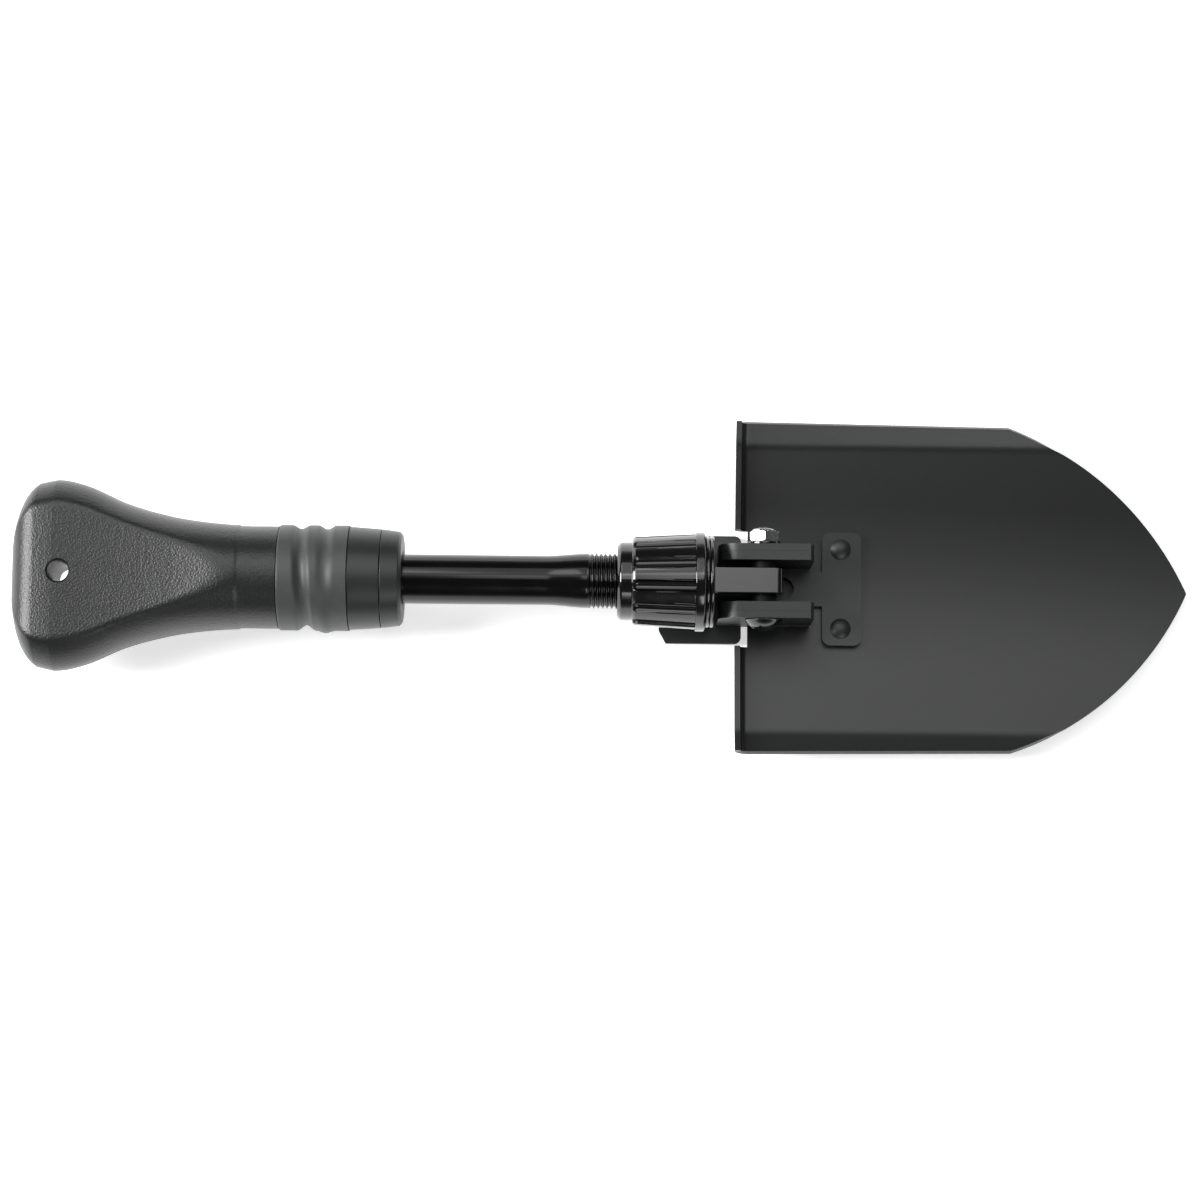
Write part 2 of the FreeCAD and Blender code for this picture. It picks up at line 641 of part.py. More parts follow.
right_edges = [Part.Arc(tip, across(middle), across(shoulder_left)).toShape(),
               Part.makeLine(across(shoulder_left), across(base_left)),
               Part.makeLine(across(base_left), base_left)]
outline = Part.Face(Part.Wire(left_edges + right_edges)).extrude(Vector(0, 0, 2 * blade_drop))
outline.translate(Vector(0, 0, -1.8 * blade_drop))
outline = upright_edges(outline, blade_corner, lambda point: point.x < blade_start + 0.01)
sheet = trough(blade_start, tip_x + 1, -blade_sheet, 0).common(outline)
step = trough(blade_start, blade_start + blade_sheet, -blade_sheet, step_height).common(outline)
blade = sheet.fuse(step)
blade = blade.cut(box(blade_start - 1, blade_start + notch_depth, -notch_half_width, notch_half_width,
                      -2 * blade_drop, 0))
window = rear_ear_face + window_gap
blade = blade.cut(box(blade_start - 1, pivot_x + cam_radius + window_gap, -window, window,
                      -2 * blade_drop, 0))
blade = blade.cut(rivet_holes).removeSplitter()


def rivet(side):
    """Rivet with a low domed head at the front and a clenched one at the rear."""
    front = rivet_seat - floor_drop
    rear = -rear_drop - rear_sheet
    dome = Part.makeSphere(rivet_sphere, Vector(rivet_x, 0, front + rivet_head_height - rivet_sphere))
    dome = dome.common(rod_z(rivet_x, 0, front, front + rivet_head_height, rivet_head_radius))
    tail = Part.makeSphere(rivet_sphere, Vector(rivet_x, 0, rear - rivet_head_height + rivet_sphere))
    tail = tail.common(rod_z(rivet_x, 0, rear - rivet_head_height, rear, rivet_head_radius))
    return swung(rod_z(rivet_x, 0, rear, front, rivet_radius).fuse(dome).fuse(tail), side)


bracket_rivets = [rivet(1), rivet(-1)]

# ---- writing the pieces -------------------------------------------------------------------
pieces = {
    "handle_front_shell": handle_front_shell,
    "handle_rear_shell": handle_rear_shell,
    "handle_screws": Part.makeCompound(handle_screws),
    "guide_sleeve": guide_sleeve,
    "front_bush": front_bush,
    "collet": collet,
    "twist_collar": twist_collar,
    "collar_cap": collar_cap,
    "rubber_grip": rubber_grip,
    "shaft_tube": shaft_tube,
    "shaft_end_stop": shaft_end_stop,
    "hinge_yoke": hinge_yoke,
    "lock_nut": lock_nut,
    "rear_washer": rear_washer,
    "front_washer": front_washer,
    "hinge_bolt": hinge_bolt,
    "hinge_nut": hinge_nut,
    "hinge_washer": hinge_washer,
    "hinge_spacers": hinge_spacers,
    "front_bracket": front_bracket,
    "rear_bracket": rear_bracket,
    "blade": blade,
    "bracket_rivets": Part.makeCompound(bracket_rivets),
}
os.makedirs("parts", exist_ok=True)
to_origin = Vector(-tip_x / 2, 0, ground_drop)
for name, shape in pieces.items():
    placed = shape.copy()
    placed.translate(to_origin)
    placed.exportStep("parts/" + name + ".step")
    print(name, placed.isValid(), len(placed.Solids), round(placed.Volume, 1))
print("length", round(tip_x, 2), "pivot x", round(pivot_x - tip_x / 2, 3), "height", round(ground_drop, 3))
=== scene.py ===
import json
import math

import bmesh
import bpy
from bpy.props import FloatProperty, FloatVectorProperty, IntProperty, PointerProperty, StringProperty
from mathutils import Matrix, Vector


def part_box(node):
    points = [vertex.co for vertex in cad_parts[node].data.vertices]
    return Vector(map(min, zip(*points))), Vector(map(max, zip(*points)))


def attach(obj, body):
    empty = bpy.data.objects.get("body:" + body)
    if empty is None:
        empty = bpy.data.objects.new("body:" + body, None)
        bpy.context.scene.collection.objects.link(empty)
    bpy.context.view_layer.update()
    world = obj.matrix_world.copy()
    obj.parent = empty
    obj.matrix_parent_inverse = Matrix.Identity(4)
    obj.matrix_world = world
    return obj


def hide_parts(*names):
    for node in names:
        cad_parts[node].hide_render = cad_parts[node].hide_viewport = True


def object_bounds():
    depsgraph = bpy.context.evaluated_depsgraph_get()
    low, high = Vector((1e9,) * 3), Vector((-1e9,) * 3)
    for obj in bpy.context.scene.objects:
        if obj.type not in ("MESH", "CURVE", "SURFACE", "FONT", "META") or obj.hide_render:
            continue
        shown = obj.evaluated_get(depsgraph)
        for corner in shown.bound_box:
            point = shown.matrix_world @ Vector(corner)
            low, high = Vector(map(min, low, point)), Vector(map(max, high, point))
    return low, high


bl_info = {
    "name": "Folding camp shovel",
    "version": (1, 0, 0),
    "blender": (4, 5, 0),
    "location": "View3D > Sidebar > Shovel",
    "description": "Builds the finished surfaces of a folding camp shovel around its packed frame",
    "category": "Object",
}

# ---- the frame, and the places that come from it -------------------------------------------
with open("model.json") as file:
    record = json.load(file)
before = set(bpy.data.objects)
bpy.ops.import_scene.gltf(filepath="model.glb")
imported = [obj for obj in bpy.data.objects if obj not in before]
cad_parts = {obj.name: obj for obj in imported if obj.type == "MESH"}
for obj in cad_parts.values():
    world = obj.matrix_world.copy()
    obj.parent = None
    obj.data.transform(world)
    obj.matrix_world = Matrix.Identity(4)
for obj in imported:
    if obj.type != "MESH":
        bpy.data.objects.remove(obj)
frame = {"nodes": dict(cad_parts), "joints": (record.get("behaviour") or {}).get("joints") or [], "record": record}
cad_box = [list(corner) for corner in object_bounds()]
mm = 0.001


def low(node, axis="x"):
    return getattr(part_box(node)[0], axis)


def high(node, axis="x"):
    return getattr(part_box(node)[1], axis)


axis_z = (low("lock_nut", "z") + high("lock_nut", "z")) / 2
hinge_pin = [joint for joint in frame["joints"] if joint["name"] == "blade_fold"][0]
pivot_x = hinge_pin["pos_m"][0]
butt_x = low("handle_front_shell")
neck_end_x = high("handle_front_shell")
tip_x = high("blade")
floor_z = cad_box[0][2]


# ---- small tools ---------------------------------------------------------------------------
def linear(text):
    """Linear colour of an sRGB hex value."""
    values = [int(text[i:i + 2], 16) / 255 for i in (1, 3, 5)]
    return [v / 12.92 if v <= 0.04045 else ((v + 0.055) / 1.055) ** 2.4 for v in values] + [1.0]


def smooth_min(a, b, blend):
    """The smaller of two sizes, with a soft change-over of the given size."""
    share = max(blend - abs(a - b), 0.0) / blend
    return min(a, b) - share * share * blend / 4


def smooth_curve(points, x):
    """Height at x of the smooth curve through a few (x, height) points."""
    if x <= points[0][0]:
        return points[0][1]
    if x >= points[-1][0]:
        return points[-1][1]
    slopes = [0.0]
    for before, after in zip(points, points[2:]):
        slopes.append((after[1] - before[1]) / (after[0] - before[0]))
    slopes.append(0.0)
    index = 0
    while points[index + 1][0] < x:
        index += 1
    x0, h0 = points[index]
    x1, h1 = points[index + 1]
    span = x1 - x0
    t = (x - x0) / span
    rise = h0 * (1 + 2 * t) * (1 - t) ** 2 + h1 * t * t * (3 - 2 * t)
    return rise + span * (slopes[index] * t * (1 - t) ** 2 - slopes[index + 1] * t * t * (1 - t))


def rounded(outline, steps=5):
    """Points of a closed (x, radius, corner radius) outline with its corners rounded."""
    points = []
    count = len(outline)
    for i, (x, r, size) in enumerate(outline):
        here = Vector((x, r))
        before = Vector(outline[i - 1][:2]) - here
        after = Vector(outline[(i + 1) % count][:2]) - here
        if size <= 0:
            points.append(here)
            continue
        reach = min(size, before.length * 0.45, after.length * 0.45)
        start = here + before.normalized() * reach
        end = here + after.normalized() * reach
        for step in range(steps + 1):
            t = step / steps
            points.append(start * (1 - t) ** 2 + here * 2 * t * (1 - t) + end * t * t)
    return points


def mesh_object(name, vertices, faces):
    mesh = bpy.data.meshes.new(name)
    mesh.from_pydata([tuple(v) for v in vertices], [], faces)
    tidy = bmesh.new()
    tidy.from_mesh(mesh)
    bmesh.ops.remove_doubles(tidy, verts=tidy.verts, dist=1e-7)
    bmesh.ops.recalc_face_normals(tidy, faces=tidy.faces)
    tidy.to_mesh(mesh)
    tidy.free()
    piece = bpy.data.objects.new(name, mesh)
    bpy.context.scene.collection.objects.link(piece)
    return piece


def grid_object(name, rows, wrap_rows=False, wrap_columns=True, cap_ends=False):
    """Mesh of a grid of points, joined round its columns, its rows or both."""
    columns = len(rows[0])
    vertices = [point for row in rows for point in row]
    faces = []
    row_count = len(rows) if wrap_rows else len(rows) - 1
    column_count = columns if wrap_columns else columns - 1
    for i in range(row_count):
        a = i * columns
        b = (i + 1) % len(rows) * columns
        for j in range(column_count):
            k = (j + 1) % columns
            faces.append((a + j, a + k, b + k, b + j))
    if cap_ends:
        faces.append(tuple(range(columns)))
        faces.append(tuple(range((len(rows) - 1) * columns, len(rows) * columns)))
    return mesh_object(name, vertices, faces)


def around_x(x, radius, angle):
    """Point at a radius about the shaft's axis; the angle starts at +Y and turns towards +Z."""
    return Vector((x, radius * math.cos(angle), axis_z + radius * math.sin(angle)))


def ring_of_points(x, radius, count):
    return [around_x(x, radius, 2 * math.pi * k / count) for k in range(count)]


def turned_object(name, outline, segments=160, shape=None):
    """Closed ring turned about the shaft's axis from a rounded (x, radius) outline."""
    points = rounded(outline)
    rows = []
    for x, r in points:
        row = []
        for step in range(segments):
            angle = 2 * math.pi * step / segments
            row.append(around_x(x, shape(x, r, angle) if shape else r, angle))
        rows.append(row)
    return grid_object(name, rows, wrap_rows=True)


def baked(piece):
    """Replace a piece's mesh by what its modifiers make of it."""
    depsgraph = bpy.context.evaluated_depsgraph_get()
    mesh = bpy.data.meshes.new_from_object(piece.evaluated_get(depsgraph))
    piece.modifiers.clear()
    old = piece.data
    piece.data = mesh
    bpy.data.meshes.remove(old)
    mesh.name = piece.name
    return piece


def cut(piece, cutters, operation="DIFFERENCE"):
    """Cut closed bodies out of a piece, or join them to it, and throw the bodies away."""
    for cutter in cutters:
        change = piece.modifiers.new("cut", "BOOLEAN")
        change.operation = operation
        change.solver = "EXACT"
        change.object = cutter
    baked(piece)
    for cutter in cutters:
        bpy.data.objects.remove(cutter)
    return piece


def block(name, x0, x1, y0, y1, z0, z1):
    corners = [(x, y, z) for x in (x0, x1) for y in (y0, y1) for z in (z0, z1)]
    faces = [(0, 1, 3, 2), (4, 6, 7, 5), (0, 4, 5, 1), (2, 3, 7, 6), (0, 2, 6, 4), (1, 5, 7, 3)]
    return mesh_object(name, corners, faces)


def post(name, x, y, z0, z1, radius, segments=64, top_radius=None):
    """Closed upright post, or cone where the top has its own radius."""
    rows = []
    for z, size in ((z0, radius), (z1, radius if top_radius is None else top_radius)):
        rows.append([Vector((x + size * math.cos(2 * math.pi * k / segments),
                             y + size * math.sin(2 * math.pi * k / segments), z)) for k in range(segments)])
    return grid_object(name, rows, cap_ends=True)


def shade(piece, material, sharp=35.0):
    """Smooth shading with crisp edges past the given angle, and the piece's material."""
    mesh = piece.data
    mesh.materials.clear()
    mesh.materials.append(material)
    mesh.shade_smooth()
    mesh.set_sharp_from_angle(angle=math.radians(sharp))
    weighted = piece.modifiers.new("even normals", "WEIGHTED_NORMAL")
    weighted.keep_sharp = True
    return piece


def fit(piece, body, nodes):
    """Put a piece on its body, in place of the CAD nodes that it stands for."""
    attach(piece, body)
    if nodes:
        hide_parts(*nodes)
    return piece


def add_node(material, kind, settings=None, values=None, links=None):
    """Add one shader node with its settings, socket values and incoming links."""
    made = material.node_tree.nodes.new(kind)
    for name, value in (settings or {}).items():
        setattr(made, name, value)
    for name, value in (values or {}).items():
        made.inputs[name].default_value = value
    for name, (source, output) in (links or {}).items():
        material.node_tree.links.new(source.outputs[output], made.inputs[name])
    return made


def start_material(name, shader_values):
    material = bpy.data.materials.new(name)
    material.use_nodes = True
    shader = material.node_tree.nodes["Principled BSDF"]
    for socket, value in shader_values.items():
        shader.inputs[socket].default_value = value
    place = add_node(material, "ShaderNodeTexCoord")
    return material, shader, place


def join_up(material, shader, links):
    for name, (source, output) in links.items():
        material.node_tree.links.new(source.outputs[output], shader.inputs[name])


def cycles_per_metre(size_mm):
    """Texture scale for a feature of this size, because object coordinates are in metres."""
    return 1000.0 / size_mm


# ---- materials -----------------------------------------------------------------------------
def moulded_nylon(colours):
    """Glass-filled nylon from a spark-eroded mould: a fine leathery grain that breaks up the
    highlights into speckles, over a slightly cloudy dark grey."""
    material, shader, place = start_material(
        "moulded_nylon_grained", {"Roughness": 0.4, "IOR": 1.53, "Specular IOR Level": 0.42})
    grain = add_node(material, "ShaderNodeTexVoronoi", {"feature": "SMOOTH_F1"},
                     {"Scale": cycles_per_metre(0.7), "Smoothness": 0.6}, {"Vector": (place, "Object")})
    fine = add_node(material, "ShaderNodeTexNoise", None,
                    {"Scale": cycles_per_metre(0.45), "Detail": 2.0, "Roughness": 0.6},
                    {"Vector": (place, "Object")})
    cloud = add_node(material, "ShaderNodeTexNoise", None,
                     {"Scale": cycles_per_metre(14.0), "Detail": 3.0}, {"Vector": (place, "Object")})
    tint = add_node(material, "ShaderNodeMix", {"data_type": "RGBA"},
                    {"A": linear(colours.handle_dark), "B": linear(colours.handle_light)},
                    {"Factor": (cloud, "Fac")})
    gloss = add_node(material, "ShaderNodeMapRange", None, {"To Min": 0.30, "To Max": 0.44},
                     {"Value": (fine, "Fac")})
    coarse_bump = add_node(material, "ShaderNodeBump", None, {"Strength": 0.7, "Distance": 0.12 * mm},
                           {"Height": (grain, "Distance")})
    fine_bump = add_node(material, "ShaderNodeBump", None, {"Strength": 0.6, "Distance": 0.06 * mm},
                         {"Height": (fine, "Fac"), "Normal": (coarse_bump, "Normal")})
    join_up(material, shader, {"Base Color": (tint, "Result"), "Roughness": (gloss, "Result"),
                               "Normal": (fine_bump, "Normal")})
    return material


def moulded_collar(colours):
    """Acetal turned smooth in a polished mould: a satin grey-black with faint flow marks."""
    material, shader, place = start_material(
        "acetal_satin_moulded", {"Roughness": 0.38, "IOR": 1.48, "Specular IOR Level": 0.42})
    stretch = add_node(material, "ShaderNodeMapping", None, {"Scale": (0.25, 1.0, 1.0)},
                       {"Vector": (place, "Object")})
    flow = add_node(material, "ShaderNodeTexNoise", None,
                    {"Scale": cycles_per_metre(3.0), "Detail": 4.0}, {"Vector": (stretch, "Vector")})
    tint = add_node(material, "ShaderNodeMix", {"data_type": "RGBA"},
                    {"A": linear(colours.collar_dark), "B": linear(colours.collar_light)},
                    {"Factor": (flow, "Fac")})
    gloss = add_node(material, "ShaderNodeMapRange", None, {"To Min": 0.33, "To Max": 0.45},
                     {"Value": (flow, "Fac")})
    fine = add_node(material, "ShaderNodeTexNoise", None,
                    {"Scale": cycles_per_metre(0.6), "Detail": 2.0}, {"Vector": (place, "Object")})
    bump = add_node(material, "ShaderNodeBump", None, {"Strength": 0.3, "Distance": 0.03 * mm},
                    {"Height": (fine, "Fac")})
    join_up(material, shader, {"Base Color": (tint, "Result"), "Roughness": (gloss, "Result"),
                               "Normal": (bump, "Normal")})
    return material


def moulded_rubber(colours):
    """Thermoplastic rubber, over-moulded: a lighter, chalky grey that scatters the light."""
    material, shader, place = start_material(
        "thermoplastic_rubber_moulded",
        {"Roughness": 0.52, "IOR": 1.5, "Sheen Weight": 0.06, "Sheen Roughness": 0.5})
    bloom = add_node(material, "ShaderNodeTexNoise", None,
                     {"Scale": cycles_per_metre(5.0), "Detail": 4.0}, {"Vector": (place, "Object")})
    tint = add_node(material, "ShaderNodeMix", {"data_type": "RGBA"},
                    {"A": linear(colours.rubber_dark), "B": linear(colours.rubber_light)},
                    {"Factor": (bloom, "Fac")})
    gloss = add_node(material, "ShaderNodeMapRange", None, {"To Min": 0.46, "To Max": 0.58},
                     {"Value": (bloom, "Fac")})
    fine = add_node(material, "ShaderNodeTexNoise", None,
                    {"Scale": cycles_per_metre(0.35), "Detail": 3.0}, {"Vector": (place, "Object")})
    bump = add_node(material, "ShaderNodeBump", None, {"Strength": 0.35, "Distance": 0.03 * mm},
                    {"Height": (fine, "Fac")})
    join_up(material, shader, {"Base Color": (tint, "Result"), "Roughness": (gloss, "Result"),
                               "Normal": (bump, "Normal")})
    return material


def gloss_enamel(colours, name, level, coat):
    """Stoved black enamel on steel: deep black with mirror-like streaks and slight orange peel."""
    material, shader, place = start_material(
        name, {"Roughness": 0.14, "IOR": 1.5, "Specular IOR Level": level, "Coat Weight": coat,
               "Coat Roughness": 0.04, "Coat IOR": 1.5})
    peel = add_node(material, "ShaderNodeTexNoise", None,
                    {"Scale": cycles_per_metre(1.4), "Detail": 1.0}, {"Vector": (place, "Object")})
    cloud = add_node(material, "ShaderNodeTexNoise", None,
                     {"Scale": cycles_per_metre(9.0), "Detail": 3.0}, {"Vector": (place, "Object")})
    tint = add_node(material, "ShaderNodeMix", {"data_type": "RGBA"},
                    {"A": linear(colours.enamel_dark), "B": linear(colours.enamel_light)},
                    {"Factor": (cloud, "Fac")})
    gloss = add_node(material, "ShaderNodeMapRange", None, {"To Min": 0.09, "To Max": 0.2},
                     {"Value": (cloud, "Fac")})
    bump = add_node(material, "ShaderNodeBump", None, {"Strength": 0.12, "Distance": 0.03 * mm},
                    {"Height": (peel, "Fac")})
    join_up(material, shader, {"Base Color": (tint, "Result"), "Roughness": (gloss, "Result"),
                               "Normal": (bump, "Normal")})
    return material


def powder_coat(colours, name, dark, light, roughness):
    """Fine-textured powder coat on sheet steel: an even dark grey with a slight green cast and
    a sandy surface that spreads every reflection."""
    material, shader, place = start_material(name, {"Roughness": roughness, "IOR": 1.5})
    sand = add_node(material, "ShaderNodeTexNoise", None,
                    {"Scale": cycles_per_metre(0.5), "Detail": 3.0, "Roughness": 0.6},
                    {"Vector": (place, "Object")})
    cloud = add_node(material, "ShaderNodeTexNoise", None,
                     {"Scale": cycles_per_metre(22.0), "Detail": 4.0}, {"Vector": (place, "Object")})
    tint = add_node(material, "ShaderNodeMix", {"data_type": "RGBA"},
                    {"A": linear(dark), "B": linear(light)}, {"Factor": (cloud, "Fac")})
    gloss = add_node(material, "ShaderNodeMapRange", None,
                     {"To Min": roughness - 0.05, "To Max": roughness + 0.07}, {"Value": (sand, "Fac")})
    bump = add_node(material, "ShaderNodeBump", None, {"Strength": 0.35, "Distance": 0.03 * mm},
                    {"Height": (sand, "Fac")})
    join_up(material, shader, {"Base Color": (tint, "Result"), "Roughness": (gloss, "Result"),
                               "Normal": (bump, "Normal")})
    return material


def zinc_plate(colours):
    """Bright zinc plate on turned steel: a cool silver with fine tool rings and soft smears."""
    material, shader, place = start_material("zinc_plated_bright", {"Metallic": 1.0, "Roughness": 0.24})
    rings = add_node(material, "ShaderNodeTexWave", {"wave_type": "RINGS", "rings_direction": "Y"},
                     {"Scale": cycles_per_metre(3.0), "Distortion": 1.0, "Detail": 2.0},
                     {"Vector": (place, "Object")})
    smear = add_node(material, "ShaderNodeTexNoise", None,
                     {"Scale": cycles_per_metre(2.0), "Detail": 4.0}, {"Vector": (place, "Object")})
    tint = add_node(material, "ShaderNodeMix", {"data_type": "RGBA"},
                    {"A": linear(colours.zinc_dark), "B": linear(colours.zinc_light)},
                    {"Factor": (smear, "Fac")})
    gloss = add_node(material, "ShaderNodeMapRange", None, {"To Min": 0.16, "To Max": 0.34},
                     {"Value": (smear, "Fac")})
    bump = add_node(material, "ShaderNodeBump", None, {"Strength": 0.1, "Distance": 0.02 * mm},
                    {"Height": (rings, "Fac")})
    join_up(material, shader, {"Base Color": (tint, "Result"), "Roughness": (gloss, "Result"),
                               "Normal": (bump, "Normal")})
    return material


def bearing_nylon(colours):
    """Unfilled black nylon as moulded: a waxy, slightly mottled black."""
    material, shader, place = start_material(
        "nylon_black_waxy", {"Roughness": 0.6, "IOR": 1.53, "Specular IOR Level": 0.15})
    mottle = add_node(material, "ShaderNodeTexNoise", None,
                      {"Scale": cycles_per_metre(2.5), "Detail": 4.0}, {"Vector": (place, "Object")})
    tint = add_node(material, "ShaderNodeMix", {"data_type": "RGBA"},
                    {"A": linear(colours.nylon_dark), "B": linear(colours.nylon_light)},
                    {"Factor": (mottle, "Fac")})
    gloss = add_node(material, "ShaderNodeMapRange", None, {"To Min": 0.52, "To Max": 0.66},
                     {"Value": (mottle, "Fac")})
    bump = add_node(material, "ShaderNodeBump", None, {"Strength": 0.2, "Distance": 0.03 * mm},
                    {"Height": (mottle, "Fac")})
    join_up(material, shader, {"Base Color": (tint, "Result"), "Roughness": (gloss, "Result"),
                               "Normal": (bump, "Normal")})
    return material


def finish_for(name):
    """The material of a finish, made the first time that it is asked for."""
    colours = bpy.context.scene.shovel_colours
    makers = {
        "moulded_nylon_grained": lambda: moulded_nylon(colours),
        "acetal_satin_moulded": lambda: moulded_collar(colours),
        "thermoplastic_rubber_moulded": lambda: moulded_rubber(colours),
        "stoved_enamel_gloss_black": lambda: gloss_enamel(colours, "stoved_enamel_gloss_black", 0.5, 0.4),
        "stoved_enamel_thin_black": lambda: gloss_enamel(colours, "stoved_enamel_thin_black", 0.3, 0.1),
        "powder_coat_blade": lambda: powder_coat(colours, "powder_coat_blade", colours.blade_dark,
                                                 colours.blade_light, 0.35),
        "powder_coat_bracket": lambda: powder_coat(colours, "powder_coat_bracket", colours.bracket_dark,
                                                   colours.bracket_light, 0.42),
        "zinc_plated_bright": lambda: zinc_plate(colours),
        "nylon_black_waxy": lambda: bearing_nylon(colours),
    }
    return bpy.data.materials.get(name) or makers[name]()


# ---- settings ------------------------------------------------------------------------------
def hex_property(name, value):
    return StringProperty(name=name, description=name + " as an sRGB hex value", default=value)


def size_property(name, value, text):
    return FloatProperty(name=name, description=text, default=value, unit="LENGTH", subtype="DISTANCE",
                         precision=5)


class ShovelColours(bpy.types.PropertyGroup):
    handle_dark: hex_property("Handle, dark", "#0D0E0F")
    handle_light: hex_property("Handle, light", "#131415")
    collar_dark: hex_property("Collar, dark", "#171918")
    collar_light: hex_property("Collar, light", "#1E2120")
    rubber_dark: hex_property("Rubber, dark", "#272A29")
    rubber_light: hex_property("Rubber, light", "#333635")
    enamel_dark: hex_property("Enamel, dark", "#030303")
    enamel_light: hex_property("Enamel, light", "#060606")
    blade_dark: hex_property("Blade, dark", "#0D0F0E")
    blade_light: hex_property("Blade, light", "#111312")
    bracket_dark: hex_property("Bracket, dark", "#161918")
    bracket_light: hex_property("Bracket, light", "#1D201F")
    zinc_dark: hex_property("Zinc, dark", "#A9ABAA")
    zinc_light: hex_property("Zinc, light", "#D2D4D3")
    nylon_dark: hex_property("Nylon, dark", "#070707")
    nylon_light: hex_property("Nylon, light", "#0D0D0D")


class ShovelHandle(bpy.types.PropertyGroup):
    butt_half_width: size_property("Butt half width", 34.0 * mm, "Half the width of the flared end")
    butt_round: size_property("Butt rounding", 15.2 * mm, "From the butt to the widest place")
    edge_round: size_property("Edge rounding", 13.0 * mm, "Length of the butt's rounding from the side")
    facet_height: size_property("Facet height", 14.5 * mm, "Height of the flat faces at the butt")
    body_height: size_property("Body height", 20.8 * mm, "Half height of the rounded body under the faces")
    facet_start: size_property("Facet rise start", 20.0 * mm, "Where the flat faces begin to rise")
    facet_end: size_property("Facet end", 75.0 * mm, "Where the flat faces run out to a point")
    facet_blend: size_property("Facet edge", 1.1 * mm, "Softness of the edges of the flat faces")
    neck_start: size_property("Neck start", 84.0 * mm, "Where the flare has run out into the neck")
    step_place: size_property("Neck step", 80.6 * mm, "Place of the small step round the neck")
    step_fade: size_property("Step fade", 22.0 * mm, "Length over which the neck's step builds up")
    step_height: size_property("Step height", 0.28 * mm, "Height of the neck's step")
    rim_chamfer: size_property("Rim chamfer", 0.6 * mm, "Chamfer round the lanyard hole")
    rear_screws: size_property("Rear screws", 27.0 * mm, "From the butt to the rear pair of screws")
    rear_screws_apart: size_property("Rear screws apart", 21.5 * mm, "From the centre to a rear screw")
    front_screws: size_property("Front screws", 50.0 * mm, "From the butt to the front pair of screws")
    front_screws_apart: size_property("Front screws apart", 16.6 * mm, "From the centre to a front screw")
    recess_radius: size_property("Recess radius", 2.98 * mm, "Radius of the screw recesses")
    recess_depth: size_property("Recess depth", 4.0 * mm, "Depth of the screw recesses")


class ShovelGrip(bpy.types.PropertyGroup):
    groove_depth: size_property("Groove depth", 1.5 * mm, "Depth of the finger grooves")
    groove_width: size_property("Groove width", 3.4 * mm, "Half width of the finger grooves")
    bulge: size_property("Bulge", 0.8 * mm, "Height of the thumb bulge on one side")
    thickness: size_property("Thickness", 2.9 * mm, "Thickness of the rubber over its seat")


class ShovelShaft(bpy.types.PropertyGroup):
    thread_pitch: size_property("Thread pitch", 25.4 / 16 * mm, "Advance of the thread in one turn")
    thread_depth: size_property("Thread depth", 0.85 * mm, "Depth of the thread")
    thread_length: size_property("Thread length", 44.0 * mm, "Length of the thread from the tube's end")
    flare_length: size_property("Flare length", 14.8 * mm, "Length over which the tube widens")
    tube_radius: size_property("Tube radius", 8.75 * mm, "Outside radius of the plain tube")
    wall: size_property("Wall", 1.5 * mm, "Wall of the tube")


class ShovelNut(bpy.types.PropertyGroup):
    flutes: IntProperty(name="Flutes", description="Number of finger flutes", default=12)
    flute_radius: size_property("Flute radius", 2.25 * mm, "Radius of each flute")
    flute_rise: size_property("Flute rise", 0.7 * mm, "How far the flute's centre lies outside the cone")
    flute_start: size_property("Flute start", 1.9 * mm, "From the cone's rear edge to a flute's ball end")
    flute_turn: FloatProperty(name="Flute turn", description="From the top to the first flute, towards -Y",
                              default=math.radians(12.0), subtype="ANGLE")
    collar_length: size_property("Collar length", 5.4 * mm, "Length of the plain rear collar")
    collar_radius: size_property("Collar radius", 13.9 * mm, "Radius of the plain rear collar")
    rear_drop: size_property("Rear drop", 2.0 * mm, "From the ring's radius down to the cone's rear edge")
    front_drop: size_property("Front drop", 0.7 * mm, "From the ring's radius down to the cone's front")
    ring_length: size_property("Ring length", 3.6 * mm, "Length of the front ring")


class ShovelBlade(bpy.types.PropertyGroup):
    sheet: size_property("Sheet", 2.0 * mm, "Thickness of the blade")
    step_height: size_property("Step height", 5.6 * mm, "Height of the foot step")
    bend: size_property("Bend radius", 2.6 * mm, "Radius of the bend of the foot step")
    shoulder: size_property("Shoulder half width", 58.8 * mm, "Half width where the point begins")
    point_length: size_property("Point length", 64.8 * mm, "Length of the pointed end")
    point_radius: size_property("Point radius", 108.0 * mm, "Radius of the edges of the point")
    trough_half: size_property("Hollow half width", 30.0 * mm, "Half width of the curved middle")
    trough_angle: FloatProperty(name="Side slope", description="Slope of the flat sides",
                                default=math.radians(8.0), subtype="ANGLE")
    fold_line: size_property("Fold line", 50.0 * mm, "From the centre to the fold of the side flange")
    fold_radius: size_property("Fold radius", 8.0 * mm, "Radius of the fold")
    notch_half: size_property("Notch half width", 21.0 * mm, "Half width of the gap in the foot step")
    notch_depth: size_property("Notch depth", 2.8 * mm, "How far the foot step is cut away")
    window_reach: size_property("Window reach", 11.8 * mm, "From the hinge washer to the window's front")
    fold_angle: FloatProperty(name="Fold angle", description="Further slope of the side flange",
                              default=math.radians(20.0), subtype="ANGLE")


